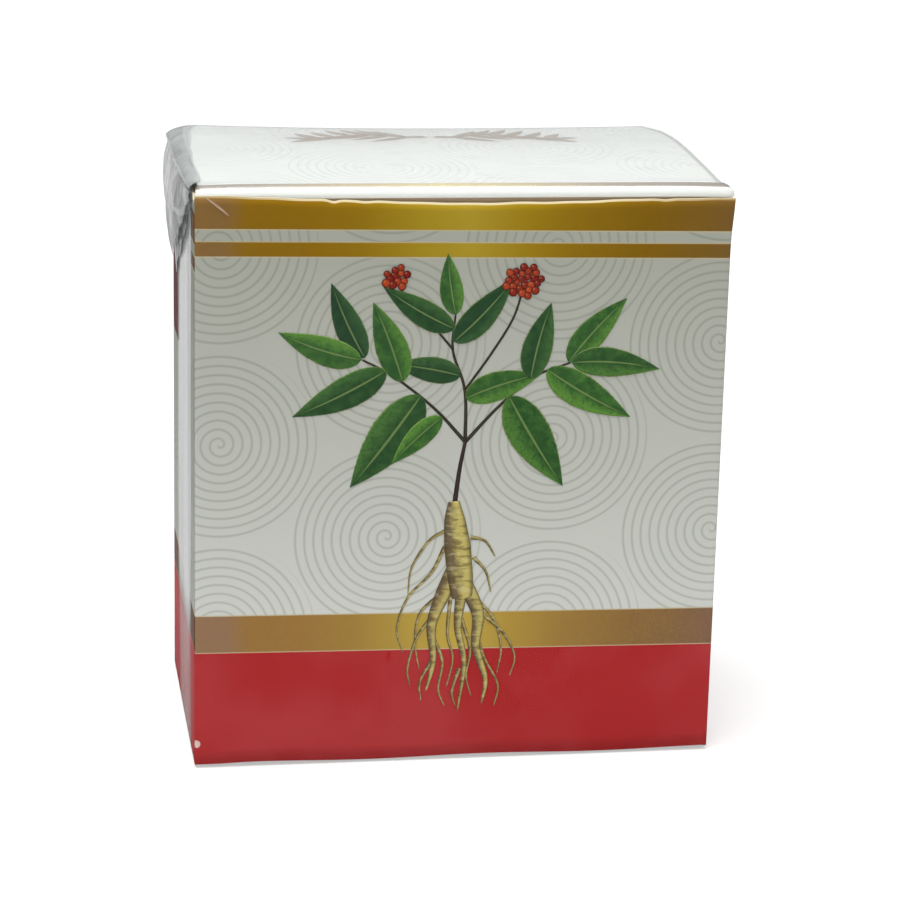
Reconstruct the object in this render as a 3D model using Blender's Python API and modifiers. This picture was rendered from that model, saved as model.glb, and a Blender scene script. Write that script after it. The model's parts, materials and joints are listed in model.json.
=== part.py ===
"""A small printed paperboard carton in clear film, with a bag of dried ginseng roots inside.

The carton stands on its base. The origin is on the surface it stands on, under the middle of the base.
+Z is up, the printed front faces -Y, and +X is to the right as one looks at the front.
The lid is scored to the back wall and turns about that crease. Its tuck flap goes in behind the front wall.
Run with: blender --background --python part.py
"""

import math
import random

import bmesh
import bpy
from mathutils import Vector

MM = 0.001

# Driving sizes, in metres
OUTER_WIDTH = 90.0 * MM
OUTER_DEPTH = 55.0 * MM
BOARD = 0.5 * MM
FILM = 0.15 * MM
CLEAR = 0.3 * MM
LID_TOP_FRONT = 100.4 * MM
LID_TOP_BACK = 102.0 * MM
LID_DOME = 0.8 * MM
LID_NOTCH_HALF = 43.6 * MM
LID_SHOULDER_HALF = 44.2 * MM
LID_BEND_RADIUS = 2.0 * MM
TUCK_LENGTH = 12.0 * MM
TUCK_LEAN = math.radians(10)
TUCK_HALF = 43.5 * MM
TUCK_TIP_HALF = 40.5 * MM
FRONT_EDGE_ENDS = 98.5 * MM
FRONT_EDGE_DIP = 0.8 * MM
LID_NOTCH_LENGTH = 0.9 * MM
CREASE_RADIUS = 0.8 * MM
CORNER_RADIUS = 0.9 * MM
DUST_FLAP_LENGTH = 28.0 * MM
DUST_FLAP_ROUND = 6.0 * MM
GLUE_FLAP_WIDTH = 12.0 * MM
GLUE_FLAP_FOOT = 4.0 * MM
GLUE_FLAP_TOP = 93.4 * MM
SIDE_STEP_LENGTH = 3.6 * MM
SIDE_STEP_TOP = 98.0 * MM
SIDE_STEP_SLOPE = 0.8 * MM
HAIR = 0.1 * MM
BASE_INNER_REACH = 34.0 * MM
BASE_DUST_REACH = 30.0 * MM
BASE_PLAY = 0.4 * MM
BASE_OUTER_SHORT = 2.2 * MM
FILM_EDGE_RADIUS = 0.4 * MM
FILM_CUT_DROP = 0.95 * MM
CAP_RISE = 0.5 * MM
CAP_OVERHANG = 0.75 * MM
CAP_EDGE_RADIUS = 0.7 * MM
CAP_FLAT_HALF = 44.0 * MM
CAP_EAR = 0.8 * MM
GATHER_SWELL = 2.2 * MM
GATHER_RIDGE = 0.6 * MM
GATHER_SIDE_TOP = 1.5 * MM
GATHER_TURN = 0.6
BAG_HALF_WIDTH = 41.0 * MM
BAG_HALF_DEPTH = 22.6 * MM
BAG_TOP = 82.0 * MM
BAG_WALL = 0.3 * MM
BAG_EDGE_RADIUS = 6.0 * MM
BAG_PINCH = 0.05
ROOT_COUNT = 5
ROOT_SPACING = 14.6 * MM
ROOT_BASE = 4.9 * MM

# Half the lid's width at depths from the back crease to the bend: it narrows only near the back corners
LID_EDGE = ((27.05, 41.2), (24.0, 42.8), (20.7, 43.7), (15.0, 44.1), (0.0, 44.3), (-24.2, 44.25))
# How far in the bunched film reaches over the lid's left margin, and how far down the left side, by depth
GATHER_INNER = ((26.5, 40.9), (14.0, 42.3), (-7.0, 43.3), (-23.2, 42.9))
GATHER_DROP = ((26.5, 9.0), (12.0, 13.0), (6.0, 21.0), (1.0, 14.0), (-8.0, 11.0), (-23.2, 8.0))

# Sizes that follow from them
BOARD_HALF_WIDTH = OUTER_WIDTH / 2 - FILM - CLEAR
BOARD_HALF_DEPTH = OUTER_DEPTH / 2 - FILM - CLEAR
BASE_Z = FILM + CLEAR
INNER_HALF_WIDTH = BOARD_HALF_WIDTH - BOARD
INNER_HALF_DEPTH = BOARD_HALF_DEPTH - BOARD
TUCK_FACE_Y = -(INNER_HALF_DEPTH - CLEAR - HAIR / 2)
BEND_CENTRE_Y = TUCK_FACE_Y + LID_BEND_RADIUS
LAYER = BOARD + CLEAR
FLOOR_Z = BASE_Z + 3 * LAYER

BOARD_WHITE = (0.78, 0.80, 0.76)
BOARD_GREY = (0.52, 0.50, 0.46)
FILM_CLEAR = (0.86, 0.90, 0.90)
BAG_CLEAR = (0.82, 0.86, 0.86)
ROOT_CREAM = (0.63, 0.47, 0.28)


def clear_scene():
    """Removes whatever objects the file opened with."""
    for old in list(bpy.data.objects):
        bpy.data.objects.remove(old)


def principled(name, colour, roughness, metallic=0.0, alpha=1.0):
    """A plain Principled BSDF material."""
    material = bpy.data.materials.new(name)
    material.use_nodes = True
    shader = material.node_tree.nodes["Principled BSDF"]
    shader.inputs["Base Color"].default_value = (*colour, 1.0)
    shader.inputs["Roughness"].default_value = roughness
    shader.inputs["Metallic"].default_value = metallic
    shader.inputs["Alpha"].default_value = alpha
    return material


def add_object(name, mesh, material):
    """Puts a mesh in the carton's collection as one named object."""
    piece = bpy.data.objects.new(name, mesh)
    bpy.data.collections["ginseng_carton"].objects.link(piece)
    mesh.materials.append(material)
    return piece


def solidify(piece, thickness, offset=-1.0):
    """Gives an open surface its thickness. An offset of -1 adds it behind the face."""
    wall = piece.modifiers.new("wall", "SOLIDIFY")
    wall.thickness = thickness
    wall.offset = offset
    wall.use_even_offset = True
    return piece


def sheet(name, columns, rows, place, thickness, material, offset=-1.0):
    """A flat grid whose points are moved to place(u, v), with u and v from 0 to 1, and then thickened."""
    grid = bmesh.new()
    bmesh.ops.create_grid(grid, x_segments=columns, y_segments=rows, size=1.0)
    for point in grid.verts:
        u = (point.co.x + 1) / 2
        v = (point.co.y + 1) / 2
        point.co = Vector(place(u, v))
    mesh = bpy.data.meshes.new(name)
    grid.to_mesh(mesh)
    grid.free()
    return solidify(add_object(name, mesh, material), thickness, offset)


def plate(name, low, high, material):
    """A flat board panel from its lowest corner to its highest."""
    block = bmesh.new()
    bmesh.ops.create_cube(block, size=1.0)
    size = Vector(high) - Vector(low)
    middle = (Vector(high) + Vector(low)) / 2
    bmesh.ops.scale(block, vec=size, verts=block.verts)
    bmesh.ops.translate(block, vec=middle, verts=block.verts)
    mesh = bpy.data.meshes.new(name)
    block.to_mesh(mesh)
    block.free()
    return add_object(name, mesh, material)


def open_box(name, low, high, radius, cuts, warp, thickness, material):
    """A box with rounded edges and an open top, cut across its depth, warped and then thickened inwards."""
    shell = bmesh.new()
    bmesh.ops.create_cube(shell, size=1.0)
    bmesh.ops.scale(shell, vec=Vector(high) - Vector(low), verts=shell.verts)
    bmesh.ops.translate(shell, vec=(Vector(high) + Vector(low)) / 2, verts=shell.verts)
    lost = [f for f in shell.faces if f.normal.z > 0.5]
    bmesh.ops.delete(shell, geom=lost, context="FACES")
    folded = [e for e in shell.edges if len(e.link_faces) == 2]
    bmesh.ops.bevel(shell, geom=folded, offset=radius, segments=3, affect="EDGES", profile=0.5)
    for cut in range(1, cuts):
        level = blend(low[1], high[1], cut / cuts)
        everything = shell.verts[:] + shell.edges[:] + shell.faces[:]
        bmesh.ops.bisect_plane(shell, geom=everything, plane_co=(0, level, 0), plane_no=(0, 1, 0))
    for point in shell.verts:
        point.co = Vector(warp(point.co))
    mesh = bpy.data.meshes.new(name)
    shell.to_mesh(mesh)
    shell.free()
    return solidify(add_object(name, mesh, material), thickness)


def blend(a, b, share):
    """The value a given share of the way from a to b."""
    return a + (b - a) * share


def smooth(share):
    """An eased step from 0 to 1."""
    share = min(max(share, 0.0), 1.0)
    return share * share * (3 - 2 * share)


def lookup(table, y):
    """A value in metres, read off a table of (depth, value) in millimetres that runs from back to front."""
    depth = y / MM
    for (back, first), (front, second) in zip(table, table[1:]):
        if depth >= front:
            return blend(second, first, min((depth - front) / (back - front), 1.0)) * MM
    return table[-1][1] * MM


def arc(centre, radius, start, end, count):
    """Points on an arc, from the start angle to the end angle, in degrees."""
    angles = [math.radians(blend(start, end, i / (count - 1))) for i in range(count)]
    return [(centre[0] + radius * math.cos(a), centre[1] + radius * math.sin(a)) for a in angles]


def lid_line(y):
    """Height of the lid's top face at a depth y, without its dome: it slopes down to the front."""
    share = (y - BEND_CENTRE_Y) / (BOARD_HALF_DEPTH - BEND_CENTRE_Y)
    return blend(LID_TOP_FRONT, LID_TOP_BACK, share)


def lid_dome(y):
    """How far the lid bulges up at a depth y: nothing at its crease and bend, the full dome between."""
    share = (y - BEND_CENTRE_Y) / (BOARD_HALF_DEPTH - BEND_CENTRE_Y)
    return LID_DOME * math.sin(math.pi * min(max(share, 0.0), 1.0))


def lid_profile():
    """The lid's outer face as (y, z, half width), from the crease over the front bend to the tuck flap's tip."""
    depths = [BOARD_HALF_DEPTH - step * MM for step in (0, 1.5, 3, 6, 10, 16, 24, 33, 42)]
    depths += [BEND_CENTRE_Y + LID_NOTCH_LENGTH, BEND_CENTRE_Y + LID_NOTCH_LENGTH - 5 * HAIR]
    outline = [(y, lid_line(y) + lid_dome(y), lookup(LID_EDGE, y)) for y in depths]
    outline[-1] = (*outline[-1][:2], LID_NOTCH_HALF)
    halves = (LID_NOTCH_HALF, LID_SHOULDER_HALF, LID_SHOULDER_HALF, LID_SHOULDER_HALF, TUCK_HALF, TUCK_HALF)
    centre = (BEND_CENTRE_Y, LID_TOP_FRONT - LID_BEND_RADIUS)
    for (y, z), half in zip(arc(centre, LID_BEND_RADIUS, 90, 172, 6), halves):
        outline.append((y, z, half))
    start_y, start_z = outline[-1][:2]
    for share in (0.16, 0.7, 1.0):
        reach = TUCK_LENGTH * share
        half = blend(TUCK_HALF, TUCK_TIP_HALF, smooth((share - 0.5) * 2))
        y = start_y + reach * math.sin(TUCK_LEAN)
        z = start_z - reach * math.cos(TUCK_LEAN)
        outline.append((y, z, half))
    return outline


def make_lid(material):
    """Lid panel, front bend and tuck flap: one scored board."""
    outline = lid_profile()

    def place(u, v):
        y, z, half = outline[round(v * (len(outline) - 1))]
        return ((0.5 - u) * 2 * half, y, z)

    sheet("carton_lid", 8, len(outline) - 1, place, BOARD, material)


def wall_path():
    """Middle line of the board round the four walls, seen from above, from the glue flap's free edge.

    The glue flap lies inside the left wall. The board then runs along the back, right, front and left walls.
    """
    half_x = BOARD_HALF_WIDTH - BOARD / 2
    half_y = BOARD_HALF_DEPTH - BOARD / 2
    bend = CORNER_RADIUS - BOARD / 2
    flap_x = -(half_x - BOARD - CLEAR)
    path = [(flap_x, half_y - bend - GLUE_FLAP_WIDTH)]
    path += arc((flap_x + bend, half_y - bend), bend, 180, 90, 4)
    path += arc((half_x - bend, half_y - bend), bend, 90, 0, 4)
    step_y = -(BOARD_HALF_DEPTH - SIDE_STEP_LENGTH)
    path += [(half_x, step_y + SIDE_STEP_SLOPE), (half_x, step_y)]
    path += arc((half_x - bend, -half_y + bend), bend, 0, -90, 4)
    spread = half_x - bend
    path += [(blend(spread, -spread, i / 10), -half_y) for i in range(1, 10)]
    path += arc((-half_x + bend, -half_y + bend), bend, -90, -180, 4)
    path += [(-half_x, step_y), (-half_x, step_y + SIDE_STEP_SLOPE)]
    path += [(-half_x, half_y - bend), (-half_x, BOARD_HALF_DEPTH)]
    return path


def wall_top(x, y, on_glue_flap):
    """Height of a wall's top edge: the front's raw edge dips in the middle, and the sides follow the lid."""
    if on_glue_flap:
        return GLUE_FLAP_TOP
    if y < -(BOARD_HALF_DEPTH - CORNER_RADIUS) - HAIR:
        return FRONT_EDGE_ENDS - FRONT_EDGE_DIP * math.cos(math.pi * x / OUTER_WIDTH) ** 2
    if y < -(BOARD_HALF_DEPTH - SIDE_STEP_LENGTH) + HAIR:
        return SIDE_STEP_TOP
    if y > BOARD_HALF_DEPTH - CORNER_RADIUS + HAIR:
        return LID_TOP_BACK - BOARD - CLEAR
    return lid_line(y) - BOARD - CLEAR - CREASE_RADIUS - CLEAR - HAIR


def make_sleeve(material):
    """The four walls and the glue flap: one board bent round, with its free edge at the back left corner."""
    path = wall_path()
    last = len(path) - 1

    def place(u, v):
        index = round(u * last)
        x, y = path[index]
        glued = index <= 3
        low = GLUE_FLAP_FOOT if glued else BASE_Z
        return (x, y, blend(low, wall_top(x, y, glued), v))

    sheet("carton_sleeve", last, 1, place, BOARD, material, offset=0.0)


def make_dust_flap(name, side, material):
    """A dust flap under the lid: the crease at a side wall's top edge, then a panel that reaches inwards."""
    centre = (BOARD_HALF_WIDTH - CREASE_RADIUS, -CREASE_RADIUS)
    profile = arc(centre, CREASE_RADIUS, 0, 90, 5)
    for share in (0.3, 0.55, 0.74, 0.84, 0.92, 0.97, 1.0):
        profile.append((BOARD_HALF_WIDTH - DUST_FLAP_LENGTH * share, 0.0))
    front = -(BOARD_HALF_DEPTH - SIDE_STEP_LENGTH) + 4 * CLEAR
    back = INNER_HALF_DEPTH - 3 * CLEAR

    def place(u, v):
        x, drop = profile[round(v * (len(profile) - 1))]
        past = max(0.0, (BOARD_HALF_WIDTH - x) - (DUST_FLAP_LENGTH - DUST_FLAP_ROUND)) / DUST_FLAP_ROUND
        inset = DUST_FLAP_ROUND * (1 - math.sqrt(max(0.0, 1 - past * past)))
        along = blend(front + inset, back - inset, u if side > 0 else 1 - u)
        return (side * x, along, lid_line(along) - BOARD - CLEAR + drop)

    sheet(name, 6, len(profile) - 1, place, BOARD, material)


def make_base(material):
    """The glued base: two dust flaps, an inner flap from the back wall and an outer flap from the front wall."""
    right = INNER_HALF_WIDTH - BASE_PLAY
    left = -(right - LAYER)
    along = INNER_HALF_DEPTH - BASE_PLAY
    levels = [BASE_Z + i * LAYER for i in range(3)]
    panels = (
        ("base_flap_outer", left, right, -along, along - BASE_OUTER_SHORT, 0),
        ("base_flap_inner", left, right, along - BASE_INNER_REACH, along, 1),
        ("base_dust_flap_left", left, left + BASE_DUST_REACH, -along + MM, along - MM, 2),
        ("base_dust_flap_right", right - BASE_DUST_REACH, right, -along + MM, along - MM, 2),
    )
    for name, low_x, high_x, low_y, high_y, level in panels:
        plate(name, (low_x, low_y, levels[level]), (high_x, high_y, levels[level] + BOARD), material)


def make_film_tray(material):
    """The film below the cut line: round the four walls and under the base, open at the top."""
    front = FRONT_EDGE_ENDS - FRONT_EDGE_DIP
    half_y = OUTER_DEPTH / 2

    def follow_lid(point):
        if point.z < LID_TOP_FRONT / 2:
            return point
        share = smooth((point.y + half_y - 1.5 * MM) / (4 * MM))
        return Vector((point.x, point.y, blend(front, lid_line(point.y) - FILM_CUT_DROP, share)))

    low = (-OUTER_WIDTH / 2, -half_y, 0.0)
    high = (OUTER_WIDTH / 2, half_y, LID_TOP_FRONT)
    open_box("film_tray", low, high, FILM_EDGE_RADIUS, 18, follow_lid, FILM, material)


def cap_half(y):
    """Half the film cap's width at a depth y."""
    return lookup(LID_EDGE, y) + CAP_OVERHANG


def make_film_cap(material):
    """The film over the lid: it turns down at the sides, and in front it follows the bend to the cut line."""
    run = []
    for i in range(13):
        y = blend(BOARD_HALF_DEPTH + CAP_RISE, BEND_CENTRE_Y, i / 12)
        run.append((y, lid_line(y) + lid_dome(y) + CAP_RISE, (0, -1), 0.0))
    centre = (BEND_CENTRE_Y, LID_TOP_FRONT - LID_BEND_RADIUS)
    reach = LID_BEND_RADIUS + CAP_RISE
    for i, (y, z) in enumerate(arc(centre, reach, 105, 165, 5)):
        inward = ((centre[0] - y) / reach, (centre[1] - z) / reach)
        run.append((y, z, inward, CAP_EAR * (i + 1) / 5))
    across = arc((-CAP_EDGE_RADIUS, -CAP_EDGE_RADIUS), CAP_EDGE_RADIUS, 0, 90, 5)
    across += [(-blend(CAP_EDGE_RADIUS, CAP_FLAT_HALF, i / 4), 0.0) for i in range(1, 4)]
    right = [(1, x, drop) for x, drop in across]
    left = [(-1, x, drop) for x, drop in reversed(across)]
    across = right + [(0, 0.0, 0.0)] + left

    def place(u, v):
        side, x, drop = across[round(u * (len(across) - 1))]
        y, z, inward, ear = run[round(v * (len(run) - 1))]
        half = cap_half(y) + (ear if side > 0 else 0.0)
        return (side * (half + x * half / CAP_FLAT_HALF), y - drop * inward[0], z - drop * inward[1])

    sheet("film_cap", len(across) - 1, len(run) - 1, place, FILM, material)


def crumple(a, b):
    """Uneven ridges from crossed sine waves, between -1 and 1."""
    ridges = math.sin(3.1 * a + 1.3 * math.sin(2.3 * b)) + 0.7 * math.sin(5.3 * a - 2.9 * b + 0.8)
    return (ridges + 0.5 * math.sin(7.9 * b + 1.7 * a)) / 2.2


def make_gather(material):
    """The film's bunched end: gathered over the lid's left margin, and down the top of the left side."""
    back = GATHER_INNER[0][0] * MM
    front = GATHER_INNER[-1][0] * MM
    clear = CLEAR + 2 * FILM

    def side_place(u, v):
        y = blend(back, front, u)
        top = lid_line(y) - GATHER_SIDE_TOP
        belly = math.sin(math.pi * min(v * 0.8 + 0.15, 1.0))
        swell = belly * (0.75 + 0.25 * crumple(7 * u, 4 * v)) * (0.5 + math.sin(math.pi * u) / 2)
        stand = clear + GATHER_SWELL * swell
        return (-(OUTER_WIDTH / 2) - stand, y, top - lookup(GATHER_DROP, y) * (1 - v))

    sheet("film_gather_side", 20, 7, side_place, 2 * FILM, material)

    def lid_place(u, v):
        y = blend(back, front, u)
        edge = cap_half(y) - CAP_EDGE_RADIUS
        top = lid_line(y) + lid_dome(y) + CAP_RISE - CAP_EDGE_RADIUS
        stand = clear + GATHER_RIDGE * (0.5 + 0.5 * crumple(8 * u, 3 * v))
        radius = CAP_EDGE_RADIUS + stand
        if v < GATHER_TURN:
            angle = math.radians(blend(190, 90, v / GATHER_TURN))
            return (-edge + radius * math.cos(angle), y, top + radius * math.sin(angle))
        inner = min(edge - CLEAR, lookup(GATHER_INNER, y))
        return (-blend(edge, inner, (v - GATHER_TURN) / (1 - GATHER_TURN)), y, top + radius)

    sheet("film_gather_lid", 20, 10, lid_place, 2 * FILM, material)


def make_bag(material):
    """The inner bag: a clear sack with an open mouth, softly waved."""
    floor = FLOOR_Z + 2 * CLEAR

    def wave(point):
        share = (point.z - floor) / (BAG_TOP - floor)
        pinch = 1 - BAG_PINCH * share
        ripple = 0.5 * MM * share * math.sin(point.x / (4.2 * MM))
        lift = 1.5 * MM * share * math.cos(point.x / (9.0 * MM))
        return (point.x * pinch, point.y * pinch + ripple, point.z + lift)

    low = (-BAG_HALF_WIDTH, -BAG_HALF_DEPTH, floor)
    high = (BAG_HALF_WIDTH, BAG_HALF_DEPTH, BAG_TOP)
    open_box("inner_bag", low, high, BAG_EDGE_RADIUS, 8, wave, BAG_WALL, material)


def tube(points, radii):
    """A tapered round limb along a smooth line, as a closed mesh object."""
    line = bpy.data.curves.new("limb", "CURVE")
    line.dimensions = "3D"
    line.bevel_depth = 1.0
    line.bevel_resolution = 2
    line.use_fill_caps = True
    spline = line.splines.new("POLY")
    spline.points.add(len(points) - 1)
    for knot, point, radius in zip(spline.points, points, radii):
        knot.co = (*point, 1.0)
        knot.radius = radius
    curve = bpy.data.objects.new("limb", line)
    bpy.context.scene.collection.objects.link(curve)
    bpy.context.view_layer.update()
    evaluated = curve.evaluated_get(bpy.context.evaluated_depsgraph_get())
    mesh = bpy.data.meshes.new_from_object(evaluated)
    weld = bmesh.new()
    weld.from_mesh(mesh)
    bmesh.ops.remove_doubles(weld, verts=weld.verts, dist=0.01 * MM)
    bmesh.ops.recalc_face_normals(weld, faces=weld.faces)
    weld.to_mesh(mesh)
    weld.free()
    limb = bpy.data.objects.new("limb", mesh)
    limb.matrix_world = curve.matrix_world
    bpy.data.objects.remove(curve)
    return limb


def limb_line(start, end, bow, count):
    """Points from start to end, bowed sideways by a half sine wave."""
    line = []
    for i in range(count):
        share = i / (count - 1)
        point = Vector(start).lerp(Vector(end), share) + Vector(bow) * math.sin(math.pi * share)
        line.append(point)
    return line


def root_limbs(middle_x, middle_y, dice):
    """Centre lines and radii of one root: its neck, its body, its legs and a few rootlets."""
    crown = Vector((middle_x, middle_y, ROOT_BASE + dice.uniform(60, 64) * MM))
    fork = crown - Vector((dice.uniform(-1, 1) * MM, dice.uniform(-2, 2) * MM, dice.uniform(30, 34) * MM))
    girth = dice.uniform(4.9, 5.7) * MM
    body = limb_line(crown, fork, (dice.uniform(-0.8, 0.8) * MM, dice.uniform(-1.5, 1.5) * MM, 0), 10)
    swell = [0.5, 0.86, 0.98, 1.0, 0.97, 0.99, 0.94, 0.9, 0.84, 0.6]
    limbs = [(body, [girth * s for s in swell])]
    neck_top = crown + Vector((dice.uniform(-1.5, 1.5) * MM, dice.uniform(-2, 2) * MM, 8 * MM))
    neck = limb_line(crown - Vector((0, 0, 2 * MM)), neck_top, (1.0 * MM, 0.8 * MM, 0), 6)
    limbs.append((neck, [s * MM for s in (2.2, 1.9, 2.1, 1.7, 2.0, 1.5)]))
    legs = [(-1, 1.0), (1, 0.9), (0, 0.7)]
    for lean, size in legs:
        foot_x = fork.x + dice.uniform(-2.0, 2.0) * MM
        foot = Vector((foot_x, fork.y + lean * dice.uniform(7, 9) * MM, ROOT_BASE))
        start = fork + Vector((0, lean * 1.6 * MM, 3.5 * MM))
        leg = limb_line(start, foot, (dice.uniform(-1, 1) * MM, lean * 1.8 * MM, 0), 8)
        taper = [girth * 0.62 * size * (1 - 0.82 * i / 7) for i in range(8)]
        limbs.append((leg, taper))
    for i in range(3):
        start = body[3 + 2 * i]
        side = 1 if i % 2 else -1
        tip = start + Vector((dice.uniform(-3, 3) * MM, side * (girth + dice.uniform(3, 5) * MM), -14 * MM))
        rootlet = limb_line(start, tip, (0, side * 2.5 * MM, 0), 6)
        limbs.append((rootlet, [s * MM for s in (1.0, 0.9, 0.8, 0.7, 0.6, 0.5)]))
    return limbs


def make_root(name, middle_x, middle_y, dice, material):
    """One forked root: its limbs joined into one body."""
    parts = [tube(points, radii) for points, radii in root_limbs(middle_x, middle_y, dice)]
    body = add_object(name, parts[0].data, material)
    helpers = bpy.data.collections.new(name + "_limbs")
    bpy.context.scene.collection.children.link(helpers)
    for limb in parts[1:]:
        helpers.objects.link(limb)
    join = body.modifiers.new("join", "BOOLEAN")
    join.operation = "UNION"
    join.operand_type = "COLLECTION"
    join.collection = helpers
    join.solver = "EXACT"
    bpy.context.view_layer.update()
    evaluated = body.evaluated_get(bpy.context.evaluated_depsgraph_get())
    joined = bpy.data.meshes.new_from_object(evaluated)
    body.modifiers.clear()
    body.data = joined
    for limb in parts:
        bpy.data.objects.remove(limb)
    bpy.data.collections.remove(helpers)


def make_roots(material):
    """Dried roots standing side by side in the bag, each one different."""
    dice = random.Random(7)
    for i in range(ROOT_COUNT):
        x = (i - (ROOT_COUNT - 1) / 2) * ROOT_SPACING
        y = (4.0 if i % 2 else -3.0) * MM
        make_root(f"ginseng_root_{i + 1}", x, y, dice, material)


def hang_on_crease(names):
    """Parents the moving pieces to an empty on the lid's crease, so that turning it about X opens the lid."""
    crease = bpy.data.objects.new("lid_crease", None)
    crease.location = (0, BOARD_HALF_DEPTH, LID_TOP_BACK)
    crease.empty_display_size = 0.02
    bpy.data.collections["ginseng_carton"].objects.link(crease)
    bpy.context.view_layer.update()
    for name in names:
        piece = bpy.data.objects[name]
        piece.parent = crease
        piece.matrix_parent_inverse = crease.matrix_world.inverted()


def shade(piece):
    """Round stretches shade smoothly and folds stay crisp."""
    piece.data.shade_smooth()
    piece.data.set_sharp_from_angle(angle=math.radians(35))


def main():
    clear_scene()
    carton = bpy.data.collections.new("ginseng_carton")
    bpy.context.scene.collection.children.link(carton)
    printed = principled("printed_board", BOARD_WHITE, 0.35)
    plain = principled("plain_board", BOARD_GREY, 0.8)
    film = principled("clear_film", FILM_CLEAR, 0.08, alpha=0.3)
    bag = principled("bag_film", BAG_CLEAR, 0.15, alpha=0.35)
    root = principled("dried_root", ROOT_CREAM, 0.75)
    make_sleeve(printed)
    make_lid(printed)
    make_dust_flap("dust_flap_left", -1, plain)
    make_dust_flap("dust_flap_right", 1, plain)
    make_base(plain)
    make_film_tray(film)
    make_film_cap(film)
    make_gather(film)
    make_bag(bag)
    make_roots(root)
    for piece in carton.objects:
        shade(piece)
    hang_on_crease(("carton_lid", "film_cap", "film_gather_lid"))


main()
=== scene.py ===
"""Looks of a small printed carton in clear film: board, print, film, contents and studio.

The carton stands at the origin. Its printed front faces -Y, and +Z is up. Shapes are in millimetres.
"""

import json
import math

import bpy
import numpy as np
from mathutils import Matrix, Vector


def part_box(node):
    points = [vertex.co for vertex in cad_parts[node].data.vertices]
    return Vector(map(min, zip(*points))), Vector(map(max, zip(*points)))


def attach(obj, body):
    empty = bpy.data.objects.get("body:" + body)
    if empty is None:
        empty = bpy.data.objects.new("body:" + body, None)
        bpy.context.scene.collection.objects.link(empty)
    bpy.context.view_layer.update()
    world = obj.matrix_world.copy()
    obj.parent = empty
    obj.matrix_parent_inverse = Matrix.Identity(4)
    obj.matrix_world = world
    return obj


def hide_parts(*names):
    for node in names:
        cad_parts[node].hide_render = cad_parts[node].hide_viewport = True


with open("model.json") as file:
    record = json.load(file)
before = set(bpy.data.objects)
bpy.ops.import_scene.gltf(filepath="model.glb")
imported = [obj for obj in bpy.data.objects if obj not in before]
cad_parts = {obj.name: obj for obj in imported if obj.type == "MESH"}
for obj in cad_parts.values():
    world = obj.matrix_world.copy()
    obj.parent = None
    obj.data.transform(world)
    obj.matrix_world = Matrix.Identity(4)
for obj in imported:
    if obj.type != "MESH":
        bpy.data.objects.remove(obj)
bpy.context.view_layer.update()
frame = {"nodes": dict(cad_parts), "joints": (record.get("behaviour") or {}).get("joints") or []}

bl_info = {
    "name": "Film-wrapped carton",
    "version": (1, 0, 0),
    "blender": (4, 5, 0),
    "location": "View3D > Sidebar > Carton",
    "description": "Builds the board, print, film, contents and studio of a small printed carton",
    "category": "Object",
}

MM = 0.001


def box_mm(node):
    """A CAD node's lowest and highest corner, in millimetres."""
    low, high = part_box(node)
    return np.array(low) / MM, np.array(high) / MM


WALLS_LOW, WALLS_HIGH = box_mm("carton_sleeve")
BAG_LOW, BAG_HIGH = box_mm("inner_bag")
FILM_HIGH = box_mm("film_tray")[1]
GATHER_LOW = box_mm("film_gather_side")[0]
CREASE_Y, CREASE_Z = (value / MM for value in frame["joints"][0]["pos_m"][1:])

# The film lies tight on the board here, so the board's outer faces stand a hair further out than the solids'
TIGHT = 0.25
HALF_X = WALLS_HIGH[0] + TIGHT + 0.3
FILM_HALF_X = HALF_X + 0.1
FILM_SHEET = 0.06
FRONT_Y = -CREASE_Y - TIGHT
BACK_Y = CREASE_Y
BASE_Z = WALLS_LOW[2]
BOARD = 0.5
GAP = 0.3
CORNER = 0.45
FLARE = 0.5
BEND_Y = -24.2 - TIGHT
BEND_RADIUS = 2.0
LID_FRONT_Z = 100.4 + TIGHT
LID_BACK_Z = CREASE_Z + 0.1
LID_LENGTH = float(np.hypot(BACK_Y - BEND_Y, LID_BACK_Z - LID_FRONT_Z))
LID_DOME = 0.8
LID_DROOP = 0.2
TUCK_HALF = 43.5
RAW_EDGE_ENDS = 98.6
RAW_EDGE_DIP = 0.8
RAW_MARGIN = 0.3
FRONT_BOW = 0.1

# The print: how far it leans, how proud the picture stands, and how fast its colours change at an edge
PRINT_TILT = 0.0114
PRINT_LIFT = 0.03
SHARP = 0.06
SPIRAL_LINE = 0.3
# A cool grey: it mottles the wall paper, and on the side walls it darkens the paper as painted shade.
COOL_GREY = (0.68, 0.70, 0.68)

# Heights of the printed bands on the front: red, gold, pale field, gold, pale strip, gold
RED_TOP = 20.2
LOW_GOLD_TOP = 26.7
HIGH_GOLD_LOW = 88.65
HIGH_GOLD_TOP = 91.15
TOP_GOLD_LOW = 93.2
SIDE_GOLD_WIDTH = 5.1
SIDE_BAND_DROP = 2.6

# Depths along the bunched film, and there how far it hangs down and how full it is
GATHER_Y = (-23.2, -18.0, -12.0, -2.0, 6.0, 13.0, 20.0, 26.5)
GATHER_DROP = (1.8, 4.0, 8.5, 14.0, 18.5, 22.0, 19.5, 16.5)
GATHER_BELLY = (0.2, 0.45, 0.7, 0.95, 1.0, 1.0, 0.95, 0.85)


def colour_setting(label, text, value):
    """A colour to change in the sidebar."""
    return bpy.props.FloatVectorProperty(
        name=label, description=text, default=value, subtype="COLOR", size=3, min=0, max=1)


def angle_setting(label, text, degrees):
    """An angle to change in the sidebar."""
    radians = math.radians(degrees)
    return bpy.props.FloatProperty(name=label, description=text, default=radians, subtype="ANGLE")


def number_setting(label, text, value, low, high):
    """A plain number to change in the sidebar."""
    return bpy.props.FloatProperty(name=label, description=text, default=value, min=low, max=high)


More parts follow.
